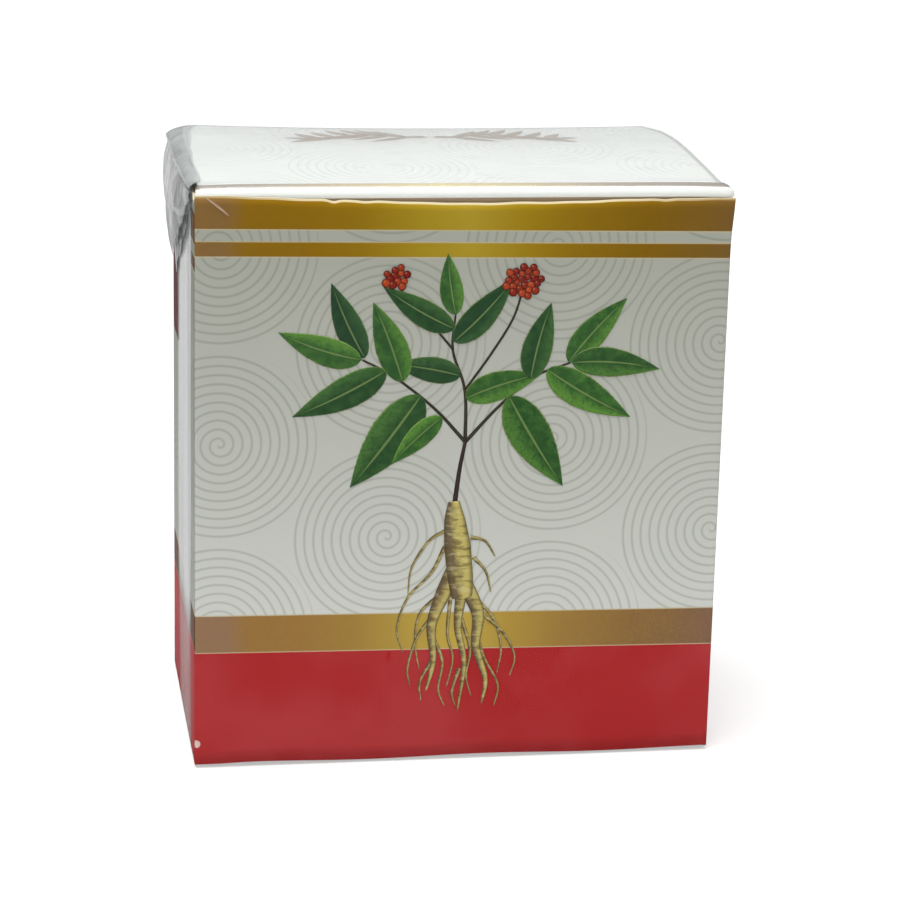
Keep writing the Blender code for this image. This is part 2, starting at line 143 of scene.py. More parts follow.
class CartonPrint(bpy.types.PropertyGroup):
    """Colours and pattern of the print."""

    paper: colour_setting("Paper", "Off-white of the unprinted board", (0.765, 0.785, 0.728))
    line: colour_setting("Line", "Grey of the spiral lines", (0.49, 0.51, 0.45))
    red: colour_setting("Red", "Band at the foot", (0.51, 0.048, 0.051))
    gold_bright: colour_setting("Bright gold", "Gold bands in the middle of a panel", (0.48, 0.335, 0.028))
    gold_dark: colour_setting("Dark gold", "Gold bands between middle and edges", (0.235, 0.117, 0.002))
    gold_brown: colour_setting("Brown", "Gold bands at a panel's edges", (0.26, 0.138, 0.045))
    cell: number_setting("Spiral spacing", "Millimetres between neighbouring spirals' centres", 33.3, 5, 100)
    turn: number_setting("Spiral turn", "Millimetres from one turn of a spiral to the next", 1.55, 0.3, 10)


class CartonFilm(bpy.types.PropertyGroup):
    """Clearness and creases of the film."""

    clear: number_setting("Veil", "How much the flat film veils the print", 0.004, 0, 1)
    # The pale streaked strip of film on the left side is a painted reflection; this sets its strength.
    side_glare: number_setting("Haze", "How much the loose film on the left side veils the board", 0.72, 0, 1)
    bunch: number_setting("Bunched veil", "How much the bunched film hides what is under it", 0.62, 0, 1)


class CartonStage(bpy.types.PropertyGroup):
    """Camera and light."""

    eye: bpy.props.FloatVectorProperty(
        name="Eye", description="Camera's place", size=3, subtype="TRANSLATION", unit="LENGTH",
        default=(-0.0767, -0.4775, 0.1785))
    pitch: angle_setting("Pitch", "Angle that the camera looks down", 15.09)
    yaw: angle_setting("Yaw", "Angle that the camera turns to the right", 9.52)
    roll: angle_setting("Roll", "Angle that the camera leans", 1.37)
    lens: number_setting("Lens", "Focal length in millimetres on a 36 mm sensor", 112.0, 20, 300)
    world: number_setting("Sky", "Strength of the even white light", 0.22, 0, 5)
    lamp: number_setting("Lamp", "Strength of the soft light above", 3.35, 0, 100)
    fill: number_setting("Fill", "Strength of the soft light in front", 0.5, 0, 100)
    backdrop: number_setting("Backdrop", "Extra white that only the camera sees on the floor", 0.45, 0, 5)


def settings():
    """The carton's settings in the open scene."""
    return bpy.context.scene.carton_print, bpy.context.scene.carton_film, bpy.context.scene.carton_stage


def grid_quads(rows, columns):
    """Corner numbers of a grid's quads, for points numbered row by row."""
    corner = (np.arange(rows - 1)[:, None] * columns + np.arange(columns - 1)).reshape(-1, 1)
    return corner + np.array([0, 1, columns + 1, columns])


def new_piece(name, points, quads, materials, maps=None, smooth_angle=40.0):
    """One mesh object from points in millimetres, quads and named UV maps given point by point."""
    mesh = bpy.data.meshes.new(name)
    points = np.asarray(points, float).reshape(-1, 3) * MM
    mesh.vertices.add(len(points))
    mesh.vertices.foreach_set("co", points.ravel())
    mesh.loops.add(quads.size)
    mesh.loops.foreach_set("vertex_index", quads.ravel())
    mesh.polygons.add(len(quads))
    mesh.polygons.foreach_set("loop_start", np.arange(0, quads.size, 4))
    for label, values in (maps or {}).items():
        layer = mesh.uv_layers.new(name=label)
        layer.data.foreach_set("uv", np.asarray(values, float).reshape(-1, 2)[quads.ravel()].ravel())
    mesh.update(calc_edges=True)
    mesh.validate()
    for material in materials:
        mesh.materials.append(material)
    mesh.shade_smooth()
    mesh.set_sharp_from_angle(angle=math.radians(smooth_angle))
    piece = bpy.data.objects.new(name, mesh)
    bpy.context.scene.collection.objects.link(piece)
    return piece


def surface(name, points, materials, maps=None, smooth_angle=40.0):
    """One object from a grid of points with shape (rows, columns, 3), in millimetres."""
    return new_piece(name, points, grid_quads(*points.shape[:2]), materials, maps, smooth_angle)


def many_surfaces(name, sheets, materials, maps=None):
    """One object from several grids of the same shape, stacked as (sheets, rows, columns, 3)."""
    count, rows, columns = sheets.shape[:3]
    quads = grid_quads(rows, columns)[None] + (np.arange(count) * rows * columns)[:, None, None]
    return new_piece(name, sheets, quads.reshape(-1, 4), materials, maps, 60.0)


def thicken(piece, thickness, inside=0, rim=0):
    """Gives a sheet its thickness behind its face, and other material slots inside and on its rim."""
    wall = piece.modifiers.new("wall", "SOLIDIFY")
    wall.thickness = thickness * MM
    wall.offset = -1.0
    wall.use_even_offset = True
    wall.material_offset = inside
    wall.material_offset_rim = rim
    return piece


def put(piece, body, slot, *nodes):
    """Fixes a finished piece to its body and hides the CAD nodes it stands for. Its slot is not used."""
    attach(piece, body)
    if nodes:
        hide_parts(*nodes)
    return piece


def smooth(x):
    """An eased step from 0 to 1."""
    x = np.clip(x, 0.0, 1.0)
    return x * x * (3 - 2 * x)


def hump(x, centre, width):
    """A bell curve of height 1."""
    return np.exp(-(((x - centre) / width) ** 2))


def folds(a, b, seed, count=7, low=0.6, high=3.0, lean=0.0, spread=0.6):
    """Crossed sharp ridges from 0 to 1: the mean of 1 - |sin| waves that run at angles round a lean."""
    dice = np.random.default_rng(seed)
    total = np.zeros(np.broadcast(a, b).shape)
    weight = 0.0
    for wave in np.geomspace(low, high, count):
        angle = lean + dice.normal(0, spread)
        bend = dice.uniform(0.3, 0.9) * np.sin(0.4 * wave * (a - b) + dice.uniform(0, 6))
        phase = wave * (a * math.cos(angle) + b * math.sin(angle)) + bend + dice.uniform(0, 6)
        total = total + (1 - np.abs(np.sin(phase))) / wave
        weight += 1 / wave
    return total / weight


def arc(centre, radius, start, end, count):
    """Points on an arc in a plane, with angles in degrees."""
    angle = np.radians(np.linspace(start, end, count))
    return np.stack([centre[0] + radius * np.cos(angle), centre[1] + radius * np.sin(angle)], 1)


def run(start, end, count):
    """Points on a straight line, without its two ends."""
    share = np.linspace(0, 1, count + 2)[1:-1, None]
    return np.array(start) * (1 - share) + np.array(end) * share


class Tree:
    """Adds shader nodes to a node tree. A value given as a socket is linked, and any other is set."""

    def __init__(self, tree):
        self.tree = tree

    def add(self, kind, values=None, **options):
        """One node, its options set and its inputs filled."""
        node = self.tree.nodes.new(kind)
        for key, value in options.items():
            setattr(node, key, value)
        return self.set(node, values or {})

    def set(self, node, values):
        """Fills a node's inputs by name or number."""
        for key, value in values.items():
            self.fill(node.inputs[key], value)
        return node

    def fill(self, socket, value):
        """Links or sets one input."""
        if isinstance(value, bpy.types.NodeSocket):
            self.tree.links.new(value, socket)
        elif socket.type == "RGBA" and len(value) == 3:
            socket.default_value = (*value, 1.0)
        else:
            socket.default_value = value

    def place(self):
        """The shaded point in the object's own space, in metres."""
        return self.add("ShaderNodeTexCoord").outputs["Object"]

    def map(self, name):
        """The shaded point's place in one of the piece's own maps."""
        return self.add("ShaderNodeUVMap", uv_map=name).outputs[0]

    def parts(self, vector):
        """A vector's three parts."""
        return self.add("ShaderNodeSeparateXYZ", {0: vector}).outputs

    def group(self, name, values):
        """The outputs of a shared node group, which is made at its first use."""
        shared = bpy.data.node_groups.get(name) or SHARED_GROUPS[name]()
        return self.add("ShaderNodeGroup", values, node_tree=shared).outputs

    def math(self, operation, a, b=0.0, c=0.0, clamp=False):
        """A Math node's result."""
        return self.add("ShaderNodeMath", {0: a, 1: b, 2: c}, operation=operation, use_clamp=clamp).outputs[0]

    def plus(self, a, b, clamp=False):
        """The sum of two values."""
        return self.math("ADD", a, b, clamp=clamp)

    def less(self, a, b, clamp=False):
        """The first value less the second."""
        return self.math("SUBTRACT", a, b, clamp=clamp)

    def times(self, a, b):
        """The product of two values."""
        return self.math("MULTIPLY", a, b)

    def size(self, a):
        """A value without its sign."""
        return self.math("ABSOLUTE", a)

    def vector(self, operation, a, b=(0, 0, 0), output=0):
        """A Vector Math node's result."""
        return self.add("ShaderNodeVectorMath", {0: a, 1: b}, operation=operation).outputs[output]

    def step(self, value, low, high, first=0.0, last=1.0):
        """Runs from first to last as the value runs from low to high."""
        filled = {"Value": value, "From Min": low, "From Max": high, "To Min": first, "To Max": last}
        return self.add("ShaderNodeMapRange", filled).outputs[0]

    def mix(self, share, a, b, blend="MIX"):
        """A mix of two colours."""
        filled = {0: share, 6: a, 7: b}
        return self.add("ShaderNodeMix", filled, data_type="RGBA", blend_type=blend).outputs[2]

    def ramp(self, share, stops):
        """A colour ramp's colour. Stops are (position, colour)."""
        node = self.add("ShaderNodeValToRGB", {0: share})
        elements = node.color_ramp.elements
        for position, _ in stops[len(elements):]:
            elements.new(position)
        for element, (position, colour) in zip(elements, stops):
            element.position = position
            element.color = (*colour, 1.0)
        return node.outputs[0]

    def noise(self, vector, scale, detail=3.0, stretch=(1, 1, 1)):
        """A noise value on a stretched vector."""
        placed = self.add("ShaderNodeMapping", {"Vector": vector, "Scale": stretch}).outputs[0]
        return self.add("ShaderNodeTexNoise", {"Vector": placed, "Scale": scale, "Detail": detail}).outputs[0]

    def bump(self, height, strength, distance):
        """A bumped normal from a height."""
        filled = {"Height": height, "Strength": strength, "Distance": distance}
        return self.add("ShaderNodeBump", filled).outputs[0]


def new_group(name, numbers, outputs):
    """A shader node group on a vector and named numbers, and its input and output nodes."""
    group = bpy.data.node_groups.new(name, "ShaderNodeTree")
    group.interface.new_socket(name="Vector", in_out="INPUT", socket_type="NodeSocketVector")
    for label, value in numbers.items():
        socket = group.interface.new_socket(name=label, in_out="INPUT", socket_type="NodeSocketFloat")
        socket.default_value = value
    for label in outputs:
        group.interface.new_socket(name=label, in_out="OUTPUT", socket_type="NodeSocketFloat")
    tree = Tree(group)
    return group, tree, tree.add("NodeGroupInput").outputs, tree.add("NodeGroupOutput").inputs


def spiral_group():
    """Spirals on a honeycomb of centres.

    A line lies wherever the distance from the nearest centre, in turns, less the angle round it, in turns,
    is a whole number. The two square nets of centres are read apart, and the nearer one is used.
    """
    group, tree, given, out = new_group("spiral_lines", {"Cell": 33.3, "Turn": 1.55, "Line": 0.12}, ["Line"])
    cell, turn = given["Cell"], given["Turn"]
    period = tree.add("ShaderNodeCombineXYZ", {0: tree.times(cell, 1.7), 1: cell, 2: 1.0}).outputs[0]
    flat = tree.vector("MULTIPLY", given["Vector"], (1, 1, 0))
    half_cell = (0.5, 0.5, 0)
    spots, lengths = [], []
    for centre in ((-41.0, 57.2, 0), (-12.7, 73.85, 0)):
        cells = tree.vector("DIVIDE", tree.vector("SUBTRACT", flat, centre), period)
        share = tree.vector("FRACTION", tree.vector("ADD", cells, half_cell))
        spots.append(tree.vector("MULTIPLY", tree.vector("SUBTRACT", share, half_cell), period))
        lengths.append(tree.vector("LENGTH", spots[-1], output=1))
    nearer = tree.math("LESS_THAN", *lengths)
    spot = tree.add("ShaderNodeMix", {0: nearer, 4: spots[1], 5: spots[0]}, data_type="VECTOR").outputs[1]
    radius = tree.math("MINIMUM", *lengths)
    parts = tree.parts(spot)
    angle = tree.math("DIVIDE", tree.math("ARCTAN2", parts[1], parts[0]), 2 * math.pi)
    turns = tree.less(tree.math("DIVIDE", radius, turn), angle)
    off = tree.size(tree.less(tree.math("FRACT", turns), 0.5))
    width = tree.math("DIVIDE", given["Line"], turn)
    line = tree.step(off, width, tree.times(width, 0.25))
    edge = tree.step(radius, tree.times(cell, 0.494), tree.times(cell, 0.485))
    tree.fill(out["Line"], tree.times(line, edge))
    return group


def wave_group():
    """Tight film's surface: long vertical waves, small dimples and a few short tension lines."""
    group, tree, given, out = new_group("film_waves", {}, ["Height"])
    long_waves = tree.noise(given["Vector"], 38, 2, (1, 1, 0.25))
    dimples = tree.noise(given["Vector"], 260, 3)
    tension = tree.noise(given["Vector"], 120, 2, (1, 1, 0.12))
    total = tree.plus(long_waves, tree.times(dimples, 0.05))
    tree.fill(out["Height"], tree.plus(total, tree.times(tension, 0.22)))
    return group


def fibre_group():
    """Board fibres: fine streaks in two directions over soft mottling, as a height and a shade."""
    group, tree, given, out = new_group("board_fibres", {}, ["Height", "Shade"])
    streaks = tree.noise(given["Vector"], 900, 4, (1, 1, 0.2))
    cross = tree.noise(given["Vector"], 700, 4, (0.2, 0.3, 1))
    mottle = tree.noise(given["Vector"], 150, 5)
    height = tree.plus(streaks, cross)
    tree.fill(out["Height"], height)
    tree.fill(out["Shade"], tree.math("MULTIPLY_ADD", height, 0.35, tree.times(mottle, 0.65)))
    return group


SHARED_GROUPS = {"spiral_lines": spiral_group, "film_waves": wave_group, "board_fibres": fibre_group}


def new_material(name):
    """A material with an empty Principled BSDF, as its tree helper and its shader."""
    material = bpy.data.materials.new(name)
    material.use_nodes = True
    return material, Tree(material.node_tree), material.node_tree.nodes["Principled BSDF"]


def film_bump(tree, place):
    """The normal of a face under tight film, or of the film itself."""
    return tree.bump(tree.group("film_waves", {"Vector": place})["Height"], 0.5, 0.0005)


def print_finish(tree, shader, colour, gloss=0.04):
    """Ink under tight film: glossy, with the film's long waves in its reflections."""
    place = tree.place()
    roughness = tree.step(tree.noise(place, 1500, 2), 0.3, 0.7, 0.11, 0.2)
    tree.set(shader, {"Base Color": colour, "Normal": film_bump(tree, place), "Roughness": roughness})
    tree.set(shader, {"IOR": 1.5, "Specular IOR Level": gloss})


def edge_line(tree, height, level, half=0.16):
    """1 on a thin line at a level, 0 elsewhere."""
    return tree.step(tree.size(tree.less(height, level)), half, half * 0.4)


def band(tree, height, low, high):
    """1 between two heights, 0 elsewhere."""
    return tree.times(tree.step(height, low, low + SHARP), tree.step(height, high + SHARP, high))


def spirals(tree, wrap):
    """1 on the print's spiral lines, 0 elsewhere."""
    ink = settings()[0]
    values = {"Vector": wrap, "Cell": ink.cell, "Turn": ink.turn, "Line": SPIRAL_LINE}
    return tree.group("spiral_lines", values)["Line"]


def wall_paper(tree, wrap, place, height, side):
    """Off-white with spiral lines, greyer towards the top and on the sides: painted shade."""
    ink = settings()[0]
    paper = tree.mix(tree.step(tree.noise(place, 40, 4), 0.35, 0.65, 0.0, 0.14), ink.paper, COOL_GREY)
    paper = tree.mix(tree.times(spirals(tree, wrap), 0.62), paper, ink.line)
    # Painted shade: the paper darkens steadily from 20 mm up to the top band.
    paper = tree.mix(tree.step(height, 20.0, 92.0, 0.0, 0.95), paper, (0.56, 0.56, 0.51), "MULTIPLY")
    # Painted shade on the side walls.
    return tree.mix(side, paper, COOL_GREY, "MULTIPLY")


def wall_gold(tree, place, along, height):
    """Gold, bright in the middle of a panel and brown at its edges, paler low on the wall."""
    ink = settings()[0]
    wander = tree.math("MULTIPLY_ADD", tree.noise(place, 30, 3), 0.06, tree.less(along, 0.03))
    gold = tree.ramp(wander, [
        (0.02, ink.gold_brown), (0.058, ink.gold_brown), (0.10, (0.28, 0.14, 0.004)),
        (0.20, (0.29, 0.145, 0.002)), (0.30, (0.32, 0.18, 0.003)), (0.42, (0.43, 0.29, 0.015)),
        (0.50, ink.gold_bright), (0.61, (0.38, 0.235, 0.006)), (0.70, (0.30, 0.165, 0.003)),
        (0.84, ink.gold_dark), (0.93, (0.215, 0.107, 0.012)), (1.0, (0.20, 0.10, 0.03))])
    grain = tree.step(tree.noise(place, 2500, 3), 0.35, 0.7, 0.0, 0.2)
    gold = tree.mix(grain, gold, (0.36, 0.25, 0.015))
    paler = {0: gold, 1: (1.35, 1.35, 1.35), 2: (-0.02, 0.0, 0.05)}
    low_tone = tree.add("ShaderNodeVectorMath", paler, operation="MULTIPLY_ADD").outputs[0]
    return tree.mix(tree.step(height, 50.0, 40.0), gold, low_tone)


def wall_red(tree, place, across, height):
    """Red in two tones, with small dark marks that gather near the middle just under the gold."""
    red = tree.mix(tree.step(tree.noise(place, 45, 4), 0.42, 0.62), settings()[0].red, (0.47, 0.026, 0.028))
    marks = tree.step(tree.noise(place, 230, 2, (0.8, 1, 0.4)), 0.66, 0.70, 0.0, 0.8)
    middle = tree.step(tree.size(tree.plus(across, 9.0)), 8.0, 3.0)
    near = tree.times(middle, tree.step(height, 12.0, 15.0))
    marks = tree.times(marks, tree.math("MULTIPLY_ADD", near, 0.85, 0.15))
    return tree.mix(marks, red, (0.42, 0.008, 0.008))


def printed_walls():
    """Outer face of the walls: off-white, three gold bands, a red foot and the bare rim of the front."""
    material, tree, shader = new_material("printed_walls")
    place, wrap = tree.place(), tree.map("wrap")
    along, side = tree.parts(tree.map("panel"))[:2]
    across, straight = tree.parts(wrap)[:2]
    below, front = tree.parts(tree.map("rim"))[:2]
    end_tilt = PRINT_TILT * HALF_X
    height = tree.plus(straight, tree.step(across, -HALF_X, HALF_X, -end_tilt, end_tilt))
    upper = tree.math("MULTIPLY_ADD", side, SIDE_BAND_DROP, height)
    low_gold = band(tree, height, RED_TOP, LOW_GOLD_TOP)
    high_gold = band(tree, upper, HIGH_GOLD_LOW, HIGH_GOLD_TOP)
    side_top = TOP_GOLD_LOW + SIDE_GOLD_WIDTH
    side_end = tree.times(side, tree.step(upper, side_top, side_top + 0.1))
    top_gold = tree.less(tree.step(upper, TOP_GOLD_LOW, TOP_GOLD_LOW + SHARP), side_end, clamp=True)
    bands = tree.plus(tree.plus(low_gold, high_gold), top_gold, clamp=True)
    # On the side walls the gold bands are darkened towards brown: painted shade.
    gold = tree.mix(tree.times(side, 0.75), wall_gold(tree, place, along, height), (0.10, 0.045, 0.03))
    colour = tree.mix(bands, wall_paper(tree, wrap, place, height, side), gold)
    red = wall_red(tree, place, across, height)
    colour = tree.mix(tree.step(height, RED_TOP, RED_TOP - SHARP), colour, red)
    lines = tree.plus(edge_line(tree, height, RED_TOP, 0.11), edge_line(tree, height, LOW_GOLD_TOP + 0.1))
    for level in (HIGH_GOLD_LOW - 0.1, HIGH_GOLD_TOP, TOP_GOLD_LOW - 0.08):
        lines = tree.plus(lines, edge_line(tree, upper, level))
    colour = tree.mix(tree.math("MULTIPLY", lines, 0.7, clamp=True), colour, (0.62, 0.52, 0.30))
    bare = tree.times(tree.step(below, RAW_MARGIN + 0.04, RAW_MARGIN), front)
    middle = tree.step(tree.size(tree.less(along, 0.5)), 0.48, 0.25)
    colour = tree.mix(bare, colour, tree.mix(middle, (0.40, 0.29, 0.13), (0.74, 0.62, 0.36)))
    # A small pale spot low on the front's left edge: a painted highlight on the film.
    film_glint_distance = tree.vector("DISTANCE", wrap, (-HALF_X + 0.25, 4.3, 0.0), output=1)
    colour = tree.mix(tree.step(film_glint_distance, 0.75, 0.6), colour, (0.80, 0.62, 0.56))
    print_finish(tree, shader, colour, 0.0)
    return material


def printed_lid():
    """Lid's outer face: faint spirals on white, a gold line on the bend, a tuck flap brown with print and
    painted shade.
    """
    material, tree, shader = new_material("printed_lid")
    place, wrap = tree.place(), tree.map("wrap")
    across, along = tree.parts(wrap)[:2]
    cloud = tree.step(tree.noise(place, 60, 4), 0.35, 0.65, 0.0, 0.3)
    paper = tree.mix(cloud, (0.93, 0.95, 0.91), (0.90, 0.93, 0.91))
    line = tree.times(spirals(tree, wrap), tree.step(along, LID_LENGTH + 0.4, LID_LENGTH, 0.0, 0.24))
    paper = tree.mix(line, paper, settings()[0].line)
    gold = tree.ramp(tree.step(across, -44, 44), [
        (0.0, (0.28, 0.23, 0.18)), (0.12, (0.36, 0.30, 0.23)), (0.30, (0.55, 0.44, 0.26)),
        (0.45, (0.66, 0.55, 0.28)), (0.60, (0.56, 0.46, 0.26)), (0.78, (0.33, 0.27, 0.19)),
        (1.0, (0.22, 0.18, 0.145))])
    crease = tree.step(tree.size(tree.less(along, LID_LENGTH + 0.80)), 0.76, 0.64)
    colour = tree.mix(crease, paper, gold)
    # The tuck flap's brown is partly print carried onto the flap and partly painted shade for the gap under
    # the bend.
    tuck = tree.step(along, LID_LENGTH + 3.25, LID_LENGTH + 3.35)
    print_finish(tree, shader, tree.mix(tuck, colour, (0.34, 0.24, 0.13)), 0.5)
    tree.set(shader, {"Coat Weight": 1.0, "Coat Roughness": 0.25})
    return material


def printed_foot():
    """The base's outer flap: red like the foot of the walls."""
    material, tree, shader = new_material("printed_foot")
    red = tree.mix(tree.noise(tree.place(), 60, 3), settings()[0].red, (0.40, 0.03, 0.03))
    print_finish(tree, shader, red)
    return material


def plain_board(name, light, dark, roughness=0.85):
    """Uncoated board: matt, mottled and fibrous."""
    material, tree, shader = new_material(name)
    fibres = tree.group("board_fibres", {"Vector": tree.place()})
    colour = tree.mix(tree.step(fibres["Shade"], 0.35, 0.7), dark, light)
    normal = tree.bump(fibres["Height"], 0.35, 0.00005)
    tree.set(shader, {"Base Color": colour, "Normal": normal, "Roughness": roughness})
    return material


def flat_print(name, colour_of, gloss=0.04):
    """Ink of the printed picture, coloured by a point's place along and across its shape and by its tone."""
    material, tree, shader = new_material(name)
    along, across = tree.parts(tree.map("own"))[:2]
    shade = tree.parts(tree.map("tone"))[0]
    print_finish(tree, shader, colour_of(tree, along, across, shade), gloss)
    return material


def leaf_colour(tree, along, across, shade):
    """A blade, dark along its midrib and lighter towards its edges, with mottling and slanting side veins."""
    off = tree.size(across)
    place = tree.place()
    dark = tree.mix(shade, (0.018, 0.055, 0.026), (0.040, 0.125, 0.030))
    light = tree.mix(shade, (0.035, 0.095, 0.040), (0.125, 0.300, 0.050))
    cloud = tree.noise(place, 620, 5)
    lit = tree.math("MULTIPLY_ADD", across, 0.35, tree.math("MULTIPLY_ADD", off, 0.55, cloud))
    colour = tree.mix(tree.step(lit, 0.50, 1.15), dark, light)
    slant = tree.less(along, tree.times(off, 0.13))
    wave = tree.size(tree.less(tree.math("FRACT", tree.times(slant, 8.0)), 0.5))
    veins = tree.times(tree.step(wave, 0.09, 0.03), tree.step(off, 0.95, 0.5, 0.0, 0.4))
    colour = tree.mix(veins, colour, dark)
    grain = tree.step(tree.noise(place, 2600, 3), 0.45, 0.75, 0.0, 0.45)
    colour = tree.mix(grain, colour, (0.012, 0.030, 0.016))
    rib = tree.times(tree.step(off, 0.075, 0.03), tree.step(along, 1.0, 0.7, 0.2, 0.75))
    colour = tree.mix(rib, colour, (0.22, 0.32, 0.10))
    return tree.mix(tree.step(off, 0.93, 0.99, 0.0, 0.55), colour, (0.42, 0.46, 0.18))


def stem_colour(tree, along, across, shade):
    """Dark stalks, greener with a low tone, and darker at their edges."""
    colour = tree.mix(shade, (0.045, 0.060, 0.025), (0.055, 0.035, 0.030))
    return tree.mix(tree.step(tree.size(across), 0.2, 1.0, 0.0, 0.6), colour, (0.015, 0.012, 0.010))


def berry_colour(tree, along, across, shade):
    """Round red berries: bright at the upper left, dark at the rim."""
    left = tree.math("POWER", tree.plus(along, 0.3), 2.0)
    spot = tree.plus(left, tree.math("POWER", tree.less(across, 0.35), 2.0))
    rim = tree.plus(tree.math("POWER", along, 2.0), tree.math("POWER", across, 2.0))
    colour = tree.mix(shade, (0.22, 0.018, 0.014), (0.50, 0.075, 0.025))
    colour = tree.mix(tree.step(rim, 0.30, 1.0, 0.0, 0.95), colour, (0.035, 0.006, 0.006))
    return tree.mix(tree.step(spot, 0.12, 0.02, 0.0, 0.45), colour, (0.66, 0.22, 0.08))


def root_colour(tree, along, across, shade):
    """Root: yellow on its right, grey brown on its left, with rings and blotches. Low tones are duller."""
    place = tree.place()
    ring = tree.noise(place, 1500, 4, (0.25, 0.25, 1.0))
    blot = tree.noise(place, 900, 3)
    lit = tree.math("MULTIPLY_ADD", tree.less(blot, 0.5), 1.6, across)
    bright = tree.mix(shade, (0.34, 0.26, 0.11), (0.64, 0.54, 0.17))
    deep = tree.mix(shade, (0.13, 0.095, 0.045), (0.20, 0.15, 0.085))
    colour = tree.mix(tree.step(lit, -0.55, 0.25), deep, bright)
    colour = tree.mix(tree.step(ring, 0.55, 0.64, 0.0, 0.6), colour, (0.14, 0.10, 0.045))
    colour = tree.mix(tree.step(ring, 0.44, 0.36, 0.0, 0.35), colour, (0.80, 0.72, 0.36))
    return tree.mix(tree.step(tree.size(across), 0.6, 1.0, 0.0, 0.75), colour, (0.085, 0.06, 0.03))


def ornament_colour(tree, along, across, shade):
    """Tan ink, softly mottled."""
    return tree.mix(tree.noise(tree.place(), 200, 3), (0.35, 0.26, 0.19), (0.27, 0.20, 0.15))


def label_colour(tree, along, across, shade):
    """Plain maroon."""
    return tree.mix(tree.noise(tree.place(), 120, 3), (0.115, 0.040, 0.042), (0.16, 0.055, 0.055))


def loose_film_glare(tree, place):
    """1 where the film stands off the left side, a streaked strip down its middle, thinner at the foot:
    painted reflection.
    """
    face, front, front_full, back_full, back = -0.0448, -0.0155, -0.012, 0.013, 0.020
    parts = tree.parts(place)
    sway = tree.math("MULTIPLY_ADD", tree.noise(place, 25, 2, (1, 1, 0.6)), 0.012, parts[1])
    stand = tree.times(tree.step(parts[0], face + 0.0002, face), tree.step(sway, front, front_full))
    stand = tree.times(stand, tree.step(sway, back, back_full))
    stand = tree.times(stand, tree.step(parts[2], 0.020, 0.026, 0.35, 1.0))
    streak = tree.step(tree.noise(place, 90, 3, (1, 2.5, 0.08)), 0.3, 0.55, 0.55, 1.0)
    return tree.times(stand, streak)


def clear_film(name, veil, tint=(0.93, 0.96, 0.95), side_glare=0.0, edge=0.08):
    """Clear film: almost nothing seen square on, more where creased, and a painted reflection where it turns
    away.
    """
    material, tree, shader = new_material(name)
    place = tree.place()
    glance = tree.add("ShaderNodeLayerWeight", {"Blend": 0.25}).outputs["Facing"]
    crease = tree.step(tree.noise(place, 160, 3, (1, 1, 0.2)), 0.62, 0.75, 0.0, veil)
    # The pale tint that shows where the film turns from the camera is a painted reflection.
    grazing_sheen = tree.step(glance, 0.35, 1.0, 0.0, edge)
    alpha = tree.plus(tree.plus(grazing_sheen, crease), veil, clamp=True)
    # Painted reflection: the pale strip on the left side.
    if side_glare:
        alpha = tree.math("MAXIMUM", alpha, tree.times(loose_film_glare(tree, place), side_glare))
    tree.set(shader, {"Base Color": tint, "Roughness": 0.07, "IOR": 1.5})
    tree.set(shader, {"Alpha": alpha, "Normal": film_bump(tree, place)})
    return material


def bunched_film():
    """Film folded on itself: cloudy where folds lie over each other, clearer between them.

    Its grey, lighter on the folds and darker between them, is partly layered film and partly painted shade.
    The piece's own map holds the folds and a painted shadow. A value below 0 there fades the film out.
    """
    material, tree, shader = new_material("bunched_film")
    place = tree.place()
    fold, painted_shadow_and_fade = tree.parts(tree.map("own"))[:2]
    share = tree.math("MULTIPLY_ADD", tree.noise(place, 190, 3, (1, 1, 0.5)), 0.45, fold)
    alpha = tree.step(share, -0.2, 1.0, 0.0, min(settings()[1].bunch * 1.4, 1.0))
    alpha = tree.math("MAXIMUM", alpha, tree.times(painted_shadow_and_fade, 0.9))
    faded = tree.plus(alpha, tree.math("MINIMUM", painted_shadow_and_fade, 0.0), clamp=True)
    # Painted shade in part: darker between the folds, lighter on them where layers lie over each other.
    grey = tree.mix(tree.step(share, 0.35, 0.9), (0.15, 0.155, 0.15), (0.50, 0.53, 0.52))
    # Painted shadow: the film turns near black where the map says so.
    colour = tree.mix(painted_shadow_and_fade, grey, (0.07, 0.07, 0.068))
    normal = tree.bump(tree.noise(place, 350, 2, (1, 1, 0.4)), 0.4, 0.0003)
    tree.set(shader, {"Base Color": colour, "Alpha": faded, "Normal": normal})
    tree.set(shader, {"Roughness": 0.12, "Specular IOR Level": 0.25})
    return material


def fold_film():
    """A fold in tight film: pale and shiny."""
    material, tree, shader = new_material("folded_film")
    place = tree.place()
    colour = tree.mix(tree.noise(place, 900, 2), (0.60, 0.39, 0.27), (0.74, 0.52, 0.38))
    alpha = tree.step(tree.noise(place, 500, 2), 0.3, 0.7, 0.5, 0.85)
    tree.set(shader, {"Base Color": colour, "Alpha": alpha, "Roughness": 0.2})
    return material


def dried_root():
    """Dried root: cream to tan bark with fine rings across it, long wrinkles and darker hollows."""
    material, tree, shader = new_material("dried_root_bark")
    place = tree.place()
    rings = tree.noise(place, 900, 4, (0.25, 0.25, 1.0))
    wrinkles = tree.noise(place, 500, 4, (1.0, 1.0, 0.12))
    spots = tree.noise(place, 220, 3)
    colour = tree.mix(tree.step(spots, 0.35, 0.65), (0.60, 0.42, 0.22), (0.72, 0.56, 0.34))
    colour = tree.mix(tree.step(rings, 0.55, 0.68, 0.0, 0.7), colour, (0.30, 0.18, 0.08))
    colour = tree.mix(tree.step(wrinkles, 0.52, 0.70, 0.0, 0.45), colour, (0.36, 0.23, 0.11))
    height = tree.less(tree.times(wrinkles, -0.7), rings)
    tree.set(shader, {"Base Color": colour, "Normal": tree.bump(height, 0.8, 0.0006), "Roughness": 0.8})
    return material


